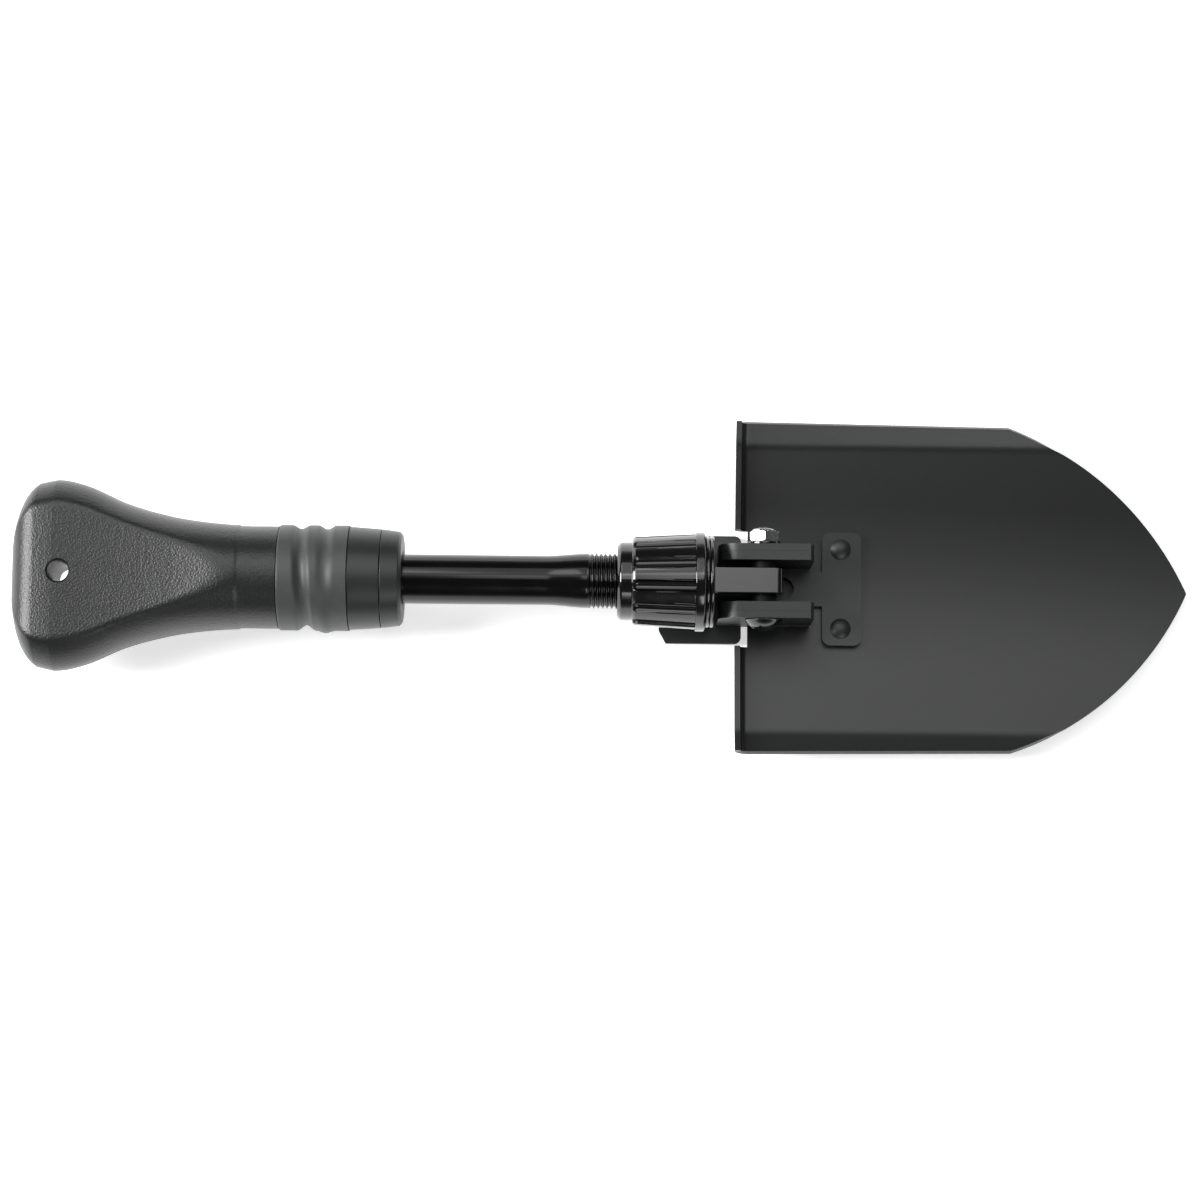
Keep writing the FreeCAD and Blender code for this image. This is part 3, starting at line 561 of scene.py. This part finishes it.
class ShovelStage(bpy.types.PropertyGroup):
    distance: size_property("Camera distance", 1.096, "From the shovel to the camera")
    elevation: FloatProperty(name="Elevation", description="Camera's angle above the floor",
                             default=math.radians(83.5), subtype="ANGLE")
    roll: FloatProperty(name="Roll", description="Turn of the camera about its own axis",
                        default=math.radians(0.6), subtype="ANGLE")
    lens: FloatProperty(name="Lens", description="Focal length in millimetres", default=93.0)
    floor_colour: hex_property("Floor", "#F4F4F4")
    floor_glow: FloatProperty(name="Floor glow", description="Light that comes up through the table",
                              default=0.62)


# ---- the pieces ----------------------------------------------------------------------------
def handle_shape(settings):
    """Functions for the handle's half width and half height along its length."""
    neck = high("handle_front_shell", "z") - axis_z
    flare = settings.neck_start - settings.butt_round
    rise = settings.butt_half_width - neck
    flank = [(settings.butt_round, settings.butt_half_width)]
    for along, share in [(0.16, 0.862), (0.37, 0.465), (0.585, 0.204), (0.79, 0.06)]:
        flank.append((settings.butt_round + along * flare, neck + share * rise))
    flank.append((settings.neck_start, neck))
    crown = [(0.25 * settings.neck_start, settings.body_height), (0.5 * settings.neck_start,
             settings.body_height - 0.5 * mm), (0.88 * settings.neck_start, neck + 0.5 * mm),
             (settings.neck_start, neck)]
    return flank, crown


class SHOVEL_OT_handle(bpy.types.Operator):
    """Builds the two moulded halves of the handle"""
    bl_idname = "shovel.handle"
    bl_label = "Handle"

    power = 2.5
    butt_rows = 26
    rows = 150
    columns = 120
    seam = 0.22 * mm
    step_edge = 0.5 * mm
    facet_curve = 2.2
    sleeve_wall = 1.9 * mm
    past_faces = 40 * mm

    def section(self, x, share, flank, crown, settings, side):
        """Points of one half's section, from the left seam over its face to the right seam."""
        half_width = smooth_curve(flank, x) * share
        depth = max(settings.edge_round - x, 0.0) / settings.edge_round
        height_share = (1 - depth ** self.power) ** (1 / self.power)
        crown_height = smooth_curve(crown, x)
        crown_end = smooth_curve(crown, settings.facet_end)
        along = (x - settings.facet_start) / (settings.facet_end - settings.facet_start)
        rise = max(along, 0.0) ** self.facet_curve
        facet = settings.facet_height + (crown_end - settings.facet_height) * rise
        before = settings.step_place - x
        built_up = min(1.0, before / self.step_edge, 1 - before / settings.step_fade)
        step = settings.step_height * max(0.0, built_up)
        points = []
        for column in range(self.columns + 1):
            angle = math.pi * column / self.columns
            y = (half_width + step) * math.cos(angle)
            z = (crown_height + step) * math.sin(angle)
            z = smooth_min(z, facet + step, settings.facet_blend) * height_share
            if column in (0, self.columns):
                y *= max(0.0, 1 - self.seam / max(half_width, self.seam))
            points.append(Vector((butt_x + x, y, axis_z + side * max(z, 0.0))))
        return points

    def half(self, name, side, settings):
        flank, crown = handle_shape(settings)
        stations = []
        for row in range(self.butt_rows):
            share = max(row, 0.15) / self.butt_rows
            x = settings.butt_round * (1 - (1 - share ** self.power) ** (1 / self.power))
            stations.append((x, share))
        length = neck_end_x - butt_x
        for row in range(self.rows + 1):
            stations.append((settings.butt_round + (length - settings.butt_round) * row / self.rows, 1.0))
        rows = [self.section(x, share, flank, crown, settings, side) for x, share in stations]
        return grid_object(name, rows, cap_ends=True)

    def execute(self, context):
        settings = context.scene.shovel_handle
        nylon = finish_for("moulded_nylon_grained")
        sleeve_low = low("guide_sleeve")
        sleeve_radius = high("front_bush", "z") - axis_z + self.sleeve_wall
        hole = frame["record"]["mounts"][0]
        hole_x = hole["pos_m"][0]
        hole_radius = hole["dims"]["r_mm"] * mm
        screws = [(settings.rear_screws, settings.rear_screws_apart),
                  (settings.front_screws, settings.front_screws_apart)]
        recess_top = axis_z - settings.facet_height + settings.recess_depth
        for name, side in (("handle_front", 1), ("handle_rear", -1)):
            piece = self.half(name, side, settings)
            rows = [ring_of_points(x, sleeve_radius, 96) for x in (sleeve_low, neck_end_x + mm)]
            cutters = [grid_object("bore", rows, cap_ends=True)]
            cutters.append(post("lanyard", hole_x, 0, axis_z - self.past_faces, axis_z + self.past_faces,
                                hole_radius))
            top = axis_z + side * settings.facet_height
            rim = settings.rim_chamfer
            cutters.append(post("rim", hole_x, 0, top - side * rim, top + side * 3 * rim, hole_radius,
                                top_radius=hole_radius + 4 * rim))
            if side < 0:
                for along, apart in screws:
                    for y in (-apart, apart):
                        cutters.append(post("recess", butt_x + along, y, axis_z - self.past_faces,
                                            recess_top, settings.recess_radius))
            cut(piece, cutters)
            shade(piece, nylon)
            fit(piece, "handle", [name + "_shell"])
        return {"FINISHED"}


class SHOVEL_OT_grip(bpy.types.Operator):
    """Builds the rubber grip with its finger waves"""
    bl_idname = "shovel.grip"
    bl_label = "Rubber grip"

    def execute(self, context):
        settings = context.scene.shovel_grip
        start, end = low("rubber_grip"), high("rubber_grip")
        outer = high("rubber_grip", "z") - axis_z
        seat = outer - settings.thickness
        length = end - start

        def groove(distance):
            share = abs(distance) / settings.groove_width
            return 0.0 if share >= 1 else (0.5 + 0.5 * math.cos(math.pi * share))

        def wave(x, r, angle):
            if r < outer - 1.5 * mm:
                return r
            left = 0.5 + 0.5 * math.cos(angle)
            x = x - start
            first = (0.39 - 0.085 * left) * length
            second = 0.68 * length
            radius = r - settings.groove_depth * (1.25 - 0.35 * left) * groove(x - first)
            radius -= settings.groove_depth * 0.95 * left * groove(x - second)
            thumb_side = max(0.0, -math.cos(angle)) ** 1.5
            radius += settings.bulge * thumb_side * groove((x - 0.665 * length) * 0.9)
            return radius

        profile = [(start, seat, 0), (start, outer - 0.25 * mm, 0.5 * mm)]
        steps = 70
        for step in range(1, steps):
            profile.append((start + length * step / steps, outer, 0))
        profile += [(end, outer, 0.4 * mm), (end, seat, 0)]
        piece = turned_object("rubber_grip_waved", profile, 180, wave)
        shade(piece, finish_for("thermoplastic_rubber_moulded"), 50)
        fit(piece, "twist_collar", ["rubber_grip"])
        return {"FINISHED"}


class SHOVEL_OT_collar(bpy.types.Operator):
    """Builds the turning collar and its front ring"""
    bl_idname = "shovel.collar"
    bl_label = "Twist collar"

    sleeve_room = 2.0 * mm
    skin = 2.7 * mm
    flange_length = 3.1 * mm

    def execute(self, context):
        plastic = finish_for("acetal_satin_moulded")
        start, end = low("twist_collar"), high("twist_collar")
        grip_end = high("rubber_grip")
        seat = high("rubber_grip", "z") - axis_z - context.scene.shovel_grip.thickness
        rear = high("twist_collar", "z") - axis_z
        front = high("collar_cap", "z") - axis_z
        sleeve = high("front_bush", "z") - axis_z + self.sleeve_room
        pocket = front - self.skin
        flange_start = high("guide_sleeve") - self.flange_length
        collar = turned_object("collar_body", [
            (start, sleeve, 0.2 * mm), (start, seat, 0.2 * mm), (grip_end, seat, 0),
            (grip_end + 0.05 * mm, rear, 0.5 * mm), (end - 0.08 * mm, front + 0.02 * mm, 0.35 * mm),
            (end - 0.08 * mm, pocket, 0.1 * mm), (flange_start, pocket, 0), (flange_start, sleeve, 0)])
        shade(collar, plastic)
        fit(collar, "twist_collar", ["twist_collar"])
        mouth = high("collar_cap")
        tube = context.scene.shovel_shaft.tube_radius
        cap = turned_object("collar_front_ring", [
            (low("collar_cap"), sleeve + 0.4 * mm, 0), (low("collar_cap"), pocket, 0.2 * mm),
            (end + 0.02 * mm, pocket, 0), (end + 0.08 * mm, front, 0.35 * mm),
            (mouth - 1.0 * mm, front - 0.8 * mm, 0.3 * mm), (mouth, front - 1.9 * mm, 0.35 * mm),
            (mouth, tube + 1.1 * mm, 0.7 * mm), (mouth - 0.9 * mm, tube + 0.33 * mm, 0.2 * mm),
            (mouth - 1.6 * mm, tube + 0.33 * mm, 0), (mouth - 1.6 * mm, tube + 3.2 * mm, 0),
            (end, sleeve + 0.4 * mm, 0)])
        shade(cap, plastic)
        fit(cap, "twist_collar", ["collar_cap"])
        return {"FINISHED"}


class SHOVEL_OT_shaft(bpy.types.Operator):
    """Builds the shaft tube with its flare and its real helical thread"""
    bl_idname = "shovel.shaft"
    bl_label = "Shaft tube"

    segments = 144
    rows_per_turn = 16

    def execute(self, context):
        settings = context.scene.shovel_shaft
        start, end = low("shaft_tube"), high("shaft_tube")
        crest = high("shaft_tube", "z") - axis_z
        thread_start = end - settings.thread_length
        flare_start = thread_start - settings.flare_length
        flared = crest - 0.25 * mm
        pitch = settings.thread_pitch

        def outer(x, angle):
            if x <= flare_start:
                return settings.tube_radius
            if x <= thread_start:
                share = (x - flare_start) / settings.flare_length
                return settings.tube_radius + (flared - settings.tube_radius) * (3 - 2 * share) * share ** 2
            run_in = min(1.0, (x - thread_start) / (1.2 * pitch))
            phase = ((x - thread_start) / pitch - angle / (2 * math.pi)) % 1.0
            ridge = max(0.0, min(1.0, abs(phase - 0.5) * 2.7 - 0.2))
            ridge = ridge * ridge * (3 - 2 * ridge)
            lead_out = min(1.0, (end - x) / (0.7 * mm))
            crest_here = flared + (crest - flared) * run_in
            return crest_here - settings.thread_depth * (1 - ridge) * run_in - (1 - lead_out) * 0.5 * mm

        stations = [start + (flare_start - start) * k / 12 for k in range(12)]
        stations += [flare_start + settings.flare_length * k / 30 for k in range(30)]
        turns = settings.thread_length / pitch
        count = int(turns * self.rows_per_turn)
        stations += [thread_start + settings.thread_length * k / count for k in range(count + 1)]
        rows = []
        for x in stations:
            angles = [2 * math.pi * k / self.segments for k in range(self.segments)]
            rows.append([around_x(x, outer(x, angle), angle) for angle in angles])
        bore = settings.tube_radius - settings.wall
        flare_bore = crest - settings.thread_depth - settings.wall
        inside = ((end, flare_bore), (thread_start, flare_bore), (flare_start, bore), (start, bore))
        for x, radius in inside:
            rows.append(ring_of_points(x, radius, self.segments))
        piece = grid_object("shaft_tube_threaded", rows, wrap_rows=True)
        shade(piece, finish_for("stoved_enamel_thin_black"), 60)
        fit(piece, "shaft", ["shaft_tube"])
        return {"FINISHED"}


class SHOVEL_OT_lock_nut(bpy.types.Operator):
    """Builds the fluted lock nut and the two washers in front of it"""
    bl_idname = "shovel.lock_nut"
    bl_label = "Lock nut"

    columns_per_flute = 36
    steps_along = 84
    flute_edge = 0.15 * mm
    chamfer = 1.2 * mm

    def execute(self, context):
        settings = context.scene.shovel_nut
        enamel = finish_for("stoved_enamel_gloss_black")
        start, end = low("lock_nut"), high("lock_nut")
        ring = high("lock_nut", "z") - axis_z
        bore = high("shaft_tube", "z") - axis_z + 0.08 * mm
        cone_start = start + settings.collar_length
        cone_end = end - settings.ring_length
        rear, front = ring - settings.rear_drop, ring - settings.front_drop
        collar = settings.collar_radius
        slope = (front - rear) / (cone_end - cone_start)
        ball_x = cone_start + settings.flute_start
        pitch = 2 * math.pi / settings.flutes

        def fluted(x, r, angle):
            if r < rear - 1.0 * mm or x > cone_end - 0.02 * mm:
                return r
            turn = (angle - math.pi / 2 - settings.flute_turn + pitch / 2) % pitch - pitch / 2
            centre = rear + slope * (x - cone_start) + settings.flute_rise
            beside = r * math.sin(turn)
            before = max(0.0, ball_x - x)
            inside = settings.flute_radius ** 2 - beside ** 2 - before ** 2
            if inside <= 0:
                return r
            floor = centre - math.sqrt(inside)
            return smooth_min(r, floor / math.cos(turn), self.flute_edge)

        profile = [(start, bore, 0.3 * mm), (start, collar - self.chamfer, 0.3 * mm),
                   (start + self.chamfer, collar, 0.5 * mm),
                   (cone_start, collar, 0.5 * mm), (cone_start, rear - 0.5 * mm, 0.2 * mm),
                   (cone_start + 0.8 * mm, rear, 0.4 * mm)]
        for step in range(1, self.steps_along):
            share = (step / self.steps_along) ** 1.5
            x = cone_start + 0.8 * mm + (cone_end - cone_start - 1.0 * mm) * share
            profile.append((x, rear + slope * (x - cone_start), 0))
        profile += [(cone_end - 0.03 * mm, front, 0), (cone_end, front, 0),
                    (cone_end + 0.15 * mm, ring - 0.2 * mm, 0),
                    (cone_end + 0.5 * mm, ring, 0), (end - 0.5 * mm, ring, 0.4 * mm),
                    (end, ring - 0.5 * mm, 0.3 * mm), (end, bore, 0.3 * mm)]
        nut = turned_object("lock_nut_fluted", profile, settings.flutes * self.columns_per_flute, fluted)
        shade(nut, enamel, 40)
        fit(nut, "lock_nut", ["lock_nut"])
        for node in ("rear_washer", "front_washer"):
            x0, x1 = low(node), high(node)
            edge = high(node, "z") - axis_z
            washer = turned_object(node + "_rounded", [
                (x0, bore, 0.1 * mm), (x0, edge, 0.7 * mm), (x1, edge, 0.7 * mm), (x1, bore, 0.1 * mm)])
            shade(washer, enamel, 50)
            fit(washer, "thrust_washers", [node])
        return {"FINISHED"}


class SHOVEL_OT_hinge(bpy.types.Operator):
    """Builds the hinge bolt and its nut"""
    bl_idname = "shovel.hinge"
    bl_label = "Hinge"

    shank = 3.0 * mm

    def across(self, name, profile, segments=96, shape=None):
        """Solid turned about the hinge pin from (y, radius, corner) points, closed on the pin."""
        rows = []
        for y, r in rounded(profile):
            row = []
            for step in range(segments):
                angle = 2 * math.pi * step / segments
                size = shape(y, r, angle) if shape else r
                row.append(Vector((pivot_x + size * math.sin(angle), y, axis_z + size * math.cos(angle))))
            rows.append(row)
        return grid_object(name, rows, wrap_rows=True)

    def execute(self, context):
        black = finish_for("stoved_enamel_gloss_black")
        zinc = finish_for("zinc_plated_bright")
        head_y = low("hinge_bolt", "y")
        end_y = high("hinge_bolt", "y")
        face_y = -low("hinge_washer", "y")
        head_radius = (high("hinge_bolt", "z") - low("hinge_bolt", "z")) / 2
        shank = self.shank
        dome = []
        height = face_y - head_y
        sphere = (head_radius ** 2 + height ** 2) / (2 * height)
        for step in range(1, 13):
            tilt = math.asin(head_radius / sphere) * step / 12
            dome.append((head_y + sphere * (1 - math.cos(tilt)), sphere * math.sin(tilt), 0))
        tiny = 0.01 * mm
        bolt = self.across("hinge_bolt_domed", [(head_y, tiny, 0)] + dome[:-1] + [
            (face_y - 0.3 * mm, head_radius - 0.02 * mm, 0.2 * mm),
            (face_y, head_radius - 0.25 * mm, 0.15 * mm),
            (face_y, shank, 0), (end_y - 0.5 * mm, shank, 0.1 * mm), (end_y, shank - 0.5 * mm, 0.1 * mm),
            (end_y, tiny, 0)])
        shade(bolt, black, 40)
        fit(bolt, "blade", ["hinge_bolt"])
        y0, y1 = low("hinge_nut", "y"), high("hinge_nut", "y")
        flats = (high("hinge_nut", "x") - low("hinge_nut", "x")) / 2

        def hexagon(y, r, angle):
            if r < shank + 0.5 * mm:
                return r
            turn = (angle + math.pi / 6) % (math.pi / 3) - math.pi / 6
            side = flats / math.cos(math.pi / 6 - abs(turn))
            chamfer = flats * 0.97 + 1.8 * max(0.0, min(y - y0 + 0.1 * mm, body_end - y + 0.1 * mm))
            return min(r, side, chamfer) if y <= body_end + tiny else r

        body_end = y1 - 1.0 * mm
        collar_radius = flats * 0.84
        profile = [(y0, shank + 0.02 * mm, 0.3 * mm), (y0, flats * 1.16, 0)]
        for step in range(1, 14):
            profile.append((y0 + (body_end - y0) * step / 14, flats * 1.16, 0))
        profile += [(body_end, flats * 1.16, 0), (body_end + 0.02 * mm, collar_radius + 0.3 * mm, 0),
                    (y1 - 0.3 * mm, collar_radius, 0.35 * mm), (y1, collar_radius - 0.7 * mm, 0.3 * mm),
                    (y1, shank + 0.02 * mm, 0.2 * mm)]
        nut = self.across("hinge_nut_hexagon", profile, 120, hexagon)
        shade(nut, zinc, 28)
        fit(nut, "blade", ["hinge_nut"])
        return {"FINISHED"}


class SHOVEL_OT_blade(bpy.types.Operator):
    """Builds the pressed blade with its hollow, side flanges, foot step and window"""
    bl_idname = "shovel.blade"
    bl_label = "Blade"

    half_columns = 64

    def section_height(self, y, settings):
        """Height of the blade's front face above its lowest line at a distance from the centre."""
        y = abs(y)
        slope = settings.trough_angle
        radius = settings.trough_half / math.sin(slope)
        if y <= settings.trough_half:
            return radius - math.sqrt(radius ** 2 - y ** 2)
        base = radius * (1 - math.cos(slope))
        if y <= settings.fold_line:
            return base + (y - settings.trough_half) * math.tan(slope)
        base += (settings.fold_line - settings.trough_half) * math.tan(slope)
        end_slope = slope + settings.fold_angle
        fold_end = settings.fold_line + settings.fold_radius * (math.sin(end_slope) - math.sin(slope))
        if y <= fold_end:
            inner = math.asin(math.sin(slope) + (y - settings.fold_line) / settings.fold_radius)
            return base + settings.fold_radius * (math.cos(slope) - math.cos(inner))
        base += settings.fold_radius * (math.cos(slope) - math.cos(end_slope))
        return base + (y - fold_end) * math.tan(end_slope)

    def half_width(self, x, settings, base_half):
        """Half width of the blade's outline at x."""
        shoulder_x = tip_x - settings.point_length
        if x <= shoulder_x:
            share = (x - low("blade")) / (shoulder_x - low("blade"))
            return base_half + (settings.shoulder - base_half) * share
        start = Vector((shoulder_x, settings.shoulder))
        end = Vector((tip_x, 0.0))
        chord = end - start
        drop = math.sqrt(settings.point_radius ** 2 - chord.length ** 2 / 4)
        centre = (start + end) / 2 - Vector((settings.shoulder, settings.point_length)).normalized() * drop
        return centre.y + math.sqrt(max(settings.point_radius ** 2 - (x - centre.x) ** 2, 0.0))

    def execute(self, context):
        settings = context.scene.shovel_blade
        start = low("blade")
        base_half = high("blade", "y")
        floor = low("blade", "z") + settings.sheet
        path = [(0.0, settings.step_height * k / 6) for k in range(6, 0, -1)]
        path = [(x, z) for x, z in path if z > settings.bend]
        for k in range(9):
            turn = math.pi / 2 * k / 8
            path.append((settings.bend * (1 - math.cos(turn)), settings.bend * (1 - math.sin(turn))))
        stations = [(start + x, z) for x, z in path]
        shoulder_x = tip_x - settings.point_length
        run = shoulder_x - start - settings.bend
        stations += [(start + settings.bend + run * k / 34, 0.0) for k in range(1, 35)]
        for k in range(1, 61):
            share = math.sin(math.pi / 2 * k / 60)
            stations.append((shoulder_x + (settings.point_length - 0.1 * mm) * share, 0.0))
        rows = []
        for x, lift in stations:
            half = self.half_width(x, settings, base_half)
            slope = settings.trough_angle * min(1.0, half / settings.trough_half)
            slope += settings.fold_angle * min(1.0, max(0.0, half - settings.fold_line) / (4 * mm))
            half -= settings.sheet * math.sin(slope)
            row = []
            for column in range(-self.half_columns, self.half_columns + 1):
                y = half * column / self.half_columns
                row.append(Vector((x, y, floor + self.section_height(y, settings) + lift)))
            rows.append(row)
        blade = grid_object("blade_pressed", rows, wrap_columns=False)
        thick = blade.modifiers.new("sheet", "SOLIDIFY")
        thick.thickness = settings.sheet
        thick.offset = -1.0
        thick.use_even_offset = True
        baked(blade)
        window = low("hinge_washer", "y") + 0.15 * mm
        notch_y = settings.notch_half
        far = 60 * mm
        window_end = high("hinge_washer") + settings.window_reach
        cutters = [block("notch", start - far, start + settings.notch_depth, -notch_y, notch_y,
                         floor - far, floor + far),
                   block("window", start - far, window_end, -window, window,
                         floor - far, floor + far)]
        cut(blade, cutters)
        edge = blade.modifiers.new("edges", "BEVEL")
        edge.width = 0.45 * mm
        edge.segments = 3
        edge.limit_method = "ANGLE"
        edge.angle_limit = math.radians(50)
        shade(blade, finish_for("powder_coat_blade"), 30)
        fit(blade, "blade", ["blade"])
        return {"FINISHED"}


# Parts that keep the frame's shape: their finish, and the width of their rounded edges in millimetres
FRAME_PARTS = {
    "front_bracket": ("powder_coat_bracket", 0.45),
    "rear_bracket": ("powder_coat_bracket", 0.45),
    "hinge_yoke": ("stoved_enamel_gloss_black", 0.4),
    "bracket_rivets": ("powder_coat_bracket", 0.1),
    "hinge_washer": ("stoved_enamel_gloss_black", 0.15),
    "hinge_spacers": ("nylon_black_waxy", 0.2),
    "guide_sleeve": ("nylon_black_waxy", 0.15),
    "front_bush": ("nylon_black_waxy", 0.15),
    "collet": ("nylon_black_waxy", 0.15),
    "shaft_end_stop": ("nylon_black_waxy", 0.15),
    "handle_screws": ("zinc_plated_bright", 0.15),
}


class SHOVEL_OT_brackets(bpy.types.Operator):
    """Gives the brackets, rivets and inner parts of the frame their finish and soft edges"""
    bl_idname = "shovel.brackets"
    bl_label = "Brackets and inner parts"

    def rounded_frame_part(self, node, material, width):
        """Give a frame part its finish, and soft edges that a stamped or turned part has."""
        part = frame["nodes"][node]
        part.data.materials.clear()
        part.data.materials.append(material)
        weld = part.modifiers.new("joined corners", "WELD")
        weld.merge_threshold = 0.002 * mm
        flat = part.modifiers.new("flats", "DECIMATE")
        flat.decimate_type = "DISSOLVE"
        flat.angle_limit = math.radians(0.5)
        edge = part.modifiers.new("edges", "BEVEL")
        edge.width = width
        edge.segments = 3
        edge.limit_method = "ANGLE"
        edge.angle_limit = math.radians(40)
        weighted = part.modifiers.new("even normals", "WEIGHTED_NORMAL")
        weighted.keep_sharp = True

    def execute(self, context):
        for node, (finish, edge) in FRAME_PARTS.items():
            self.rounded_frame_part(node, finish_for(finish), edge * mm)
        return {"FINISHED"}


# Soft lights: place, the place they face, width and height, all in metres, and brightness of the face
SOFTBOXES = {
    "long_softbox": ((0.05, 0.58, 1.05), (0.05, 0, 0), (1.3, 0.85), 1.3),
    "front_softbox": ((0.27, 0.36, 1.05), (0.13, 0, 0), (0.42, 0.5), 1.2),
    "handle_softbox": ((-1.12, 0.12, 0.84), (-0.15, 0, 0), (0.5, 0.9), 22.0),
    "nut_softbox": ((0.02, 0.13, 1.05), (0.02, 0, 0), (0.24, 0.28), 2.2),
    "neck_softbox": ((-0.27, 0.55, 0.95), (-0.12, 0, 0), (0.3, 0.4), 3.5),
    "blade_softbox": ((0.3, -0.75, 0.72), (0.12, 0, 0), (0.6, 0.35), 4.0),
}


class SHOVEL_OT_stage(bpy.types.Operator):
    """Sets up the floor, the soft lights and the camera"""
    bl_idname = "shovel.stage"
    bl_label = "Stage"

    floor_half = 6.0
    aim_x = -1.9 * mm
    aim_y = -6.8 * mm

    def softbox(self, name, place, target, size, radiance):
        """Rectangular soft light that faces a place, given by how bright its face is."""
        lamp = bpy.data.lights.new(name, "AREA")
        lamp.shape = "RECTANGLE"
        lamp.size, lamp.size_y = size
        lamp.energy = radiance * math.pi * size[0] * size[1]
        holder = bpy.data.objects.new(name, lamp)
        holder.location = place
        holder.rotation_euler = (Vector(target) - Vector(place)).to_track_quat("-Z", "Y").to_euler()
        bpy.context.scene.collection.objects.link(holder)

    def surroundings(self, context):
        """Room that is dim overhead and pale round the horizon."""
        world = context.scene.world or bpy.data.worlds.new("studio")
        context.scene.world = world
        world.use_nodes = True
        direction = add_node(world, "ShaderNodeTexCoord")
        height = add_node(world, "ShaderNodeSeparateXYZ", None, None, {"Vector": (direction, "Generated")})
        glow = add_node(world, "ShaderNodeMapRange", {"interpolation_type": "SMOOTHSTEP"},
                        {"From Min": 0.02, "From Max": 0.2, "To Min": 0.6, "To Max": 0.1},
                        {"Value": (height, "Z")})
        background = world.node_tree.nodes["Background"]
        background.inputs["Color"].default_value = linear("#FFFFFF")
        world.node_tree.links.new(glow.outputs["Result"], background.inputs["Strength"])

    def execute(self, context):
        settings = context.scene.shovel_stage
        half = self.floor_half
        corners = [Vector((x, y, floor_z)) for x, y in ((-half, -half), (half, -half), (half, half),
                                                        (-half, half))]
        floor = mesh_object("floor", corners, [(0, 1, 2, 3)])
        acrylic, shader, place = start_material(
            "opal_acrylic_light_table",
            {"Roughness": 0.9, "Specular IOR Level": 0.1, "Emission Strength": settings.floor_glow})
        cloud = add_node(acrylic, "ShaderNodeTexNoise", None, {"Scale": 3.0, "Detail": 3.0},
                         {"Vector": (place, "Object")})
        tint = add_node(acrylic, "ShaderNodeMix", {"data_type": "RGBA"},
                        {"A": linear("#F0F0F0"), "B": linear(settings.floor_colour)},
                        {"Factor": (cloud, "Fac")})
        join_up(acrylic, shader, {"Base Color": (tint, "Result")})
        shader.inputs["Emission Color"].default_value = linear(settings.floor_colour)
        floor.data.materials.append(acrylic)
        for name, (place, target, size, radiance) in SOFTBOXES.items():
            self.softbox(name, place, target, size, radiance)
        self.surroundings(context)
        context.scene.view_settings.view_transform = "Standard"
        camera_data = bpy.data.cameras.new("camera")
        camera_data.sensor_width = 36.0
        camera_data.lens = settings.lens
        camera_data.clip_end = 20.0
        camera = bpy.data.objects.new("camera", camera_data)
        target = Vector(((butt_x + tip_x) / 2 + self.aim_x, self.aim_y, axis_z))
        back = Vector((0, -math.cos(settings.elevation), math.sin(settings.elevation)))
        camera.rotation_mode = "QUATERNION"
        camera.location = target + back * settings.distance
        turn = (-back).to_track_quat("-Z", "Y")
        camera.rotation_quaternion = turn @ Matrix.Rotation(settings.roll, 3, "Z").to_quaternion()
        context.scene.collection.objects.link(camera)
        context.scene.camera = camera
        return {"FINISHED"}


OPERATORS = (SHOVEL_OT_stage, SHOVEL_OT_handle, SHOVEL_OT_grip, SHOVEL_OT_collar, SHOVEL_OT_shaft,
             SHOVEL_OT_lock_nut, SHOVEL_OT_hinge, SHOVEL_OT_blade, SHOVEL_OT_brackets)


class SHOVEL_PT_panel(bpy.types.Panel):
    """Lists the steps that build the shovel"""
    bl_label = "Folding camp shovel"
    bl_idname = "SHOVEL_PT_panel"
    bl_space_type = "VIEW_3D"
    bl_region_type = "UI"
    bl_category = "Shovel"

    def draw(self, context):
        for operator in OPERATORS:
            self.layout.operator(operator.bl_idname)


SETTINGS = {
    "shovel_colours": ShovelColours,
    "shovel_handle": ShovelHandle,
    "shovel_grip": ShovelGrip,
    "shovel_shaft": ShovelShaft,
    "shovel_nut": ShovelNut,
    "shovel_blade": ShovelBlade,
    "shovel_stage": ShovelStage,
}


def register():
    for group in SETTINGS.values():
        bpy.utils.register_class(group)
    for name, group in SETTINGS.items():
        setattr(bpy.types.Scene, name, PointerProperty(type=group))
    for item in OPERATORS + (SHOVEL_PT_panel,):
        bpy.utils.register_class(item)


def unregister():
    for item in (SHOVEL_PT_panel,) + OPERATORS[::-1]:
        bpy.utils.unregister_class(item)
    for name, group in SETTINGS.items():
        delattr(bpy.types.Scene, name)
        bpy.utils.unregister_class(group)


def main():
    register()
    bpy.ops.shovel.stage()
    bpy.ops.shovel.handle()
    bpy.ops.shovel.grip()
    bpy.ops.shovel.collar()
    bpy.ops.shovel.shaft()
    bpy.ops.shovel.lock_nut()
    bpy.ops.shovel.hinge()
    bpy.ops.shovel.blade()
    bpy.ops.shovel.brackets()


if __name__ == "__main__":
    main()
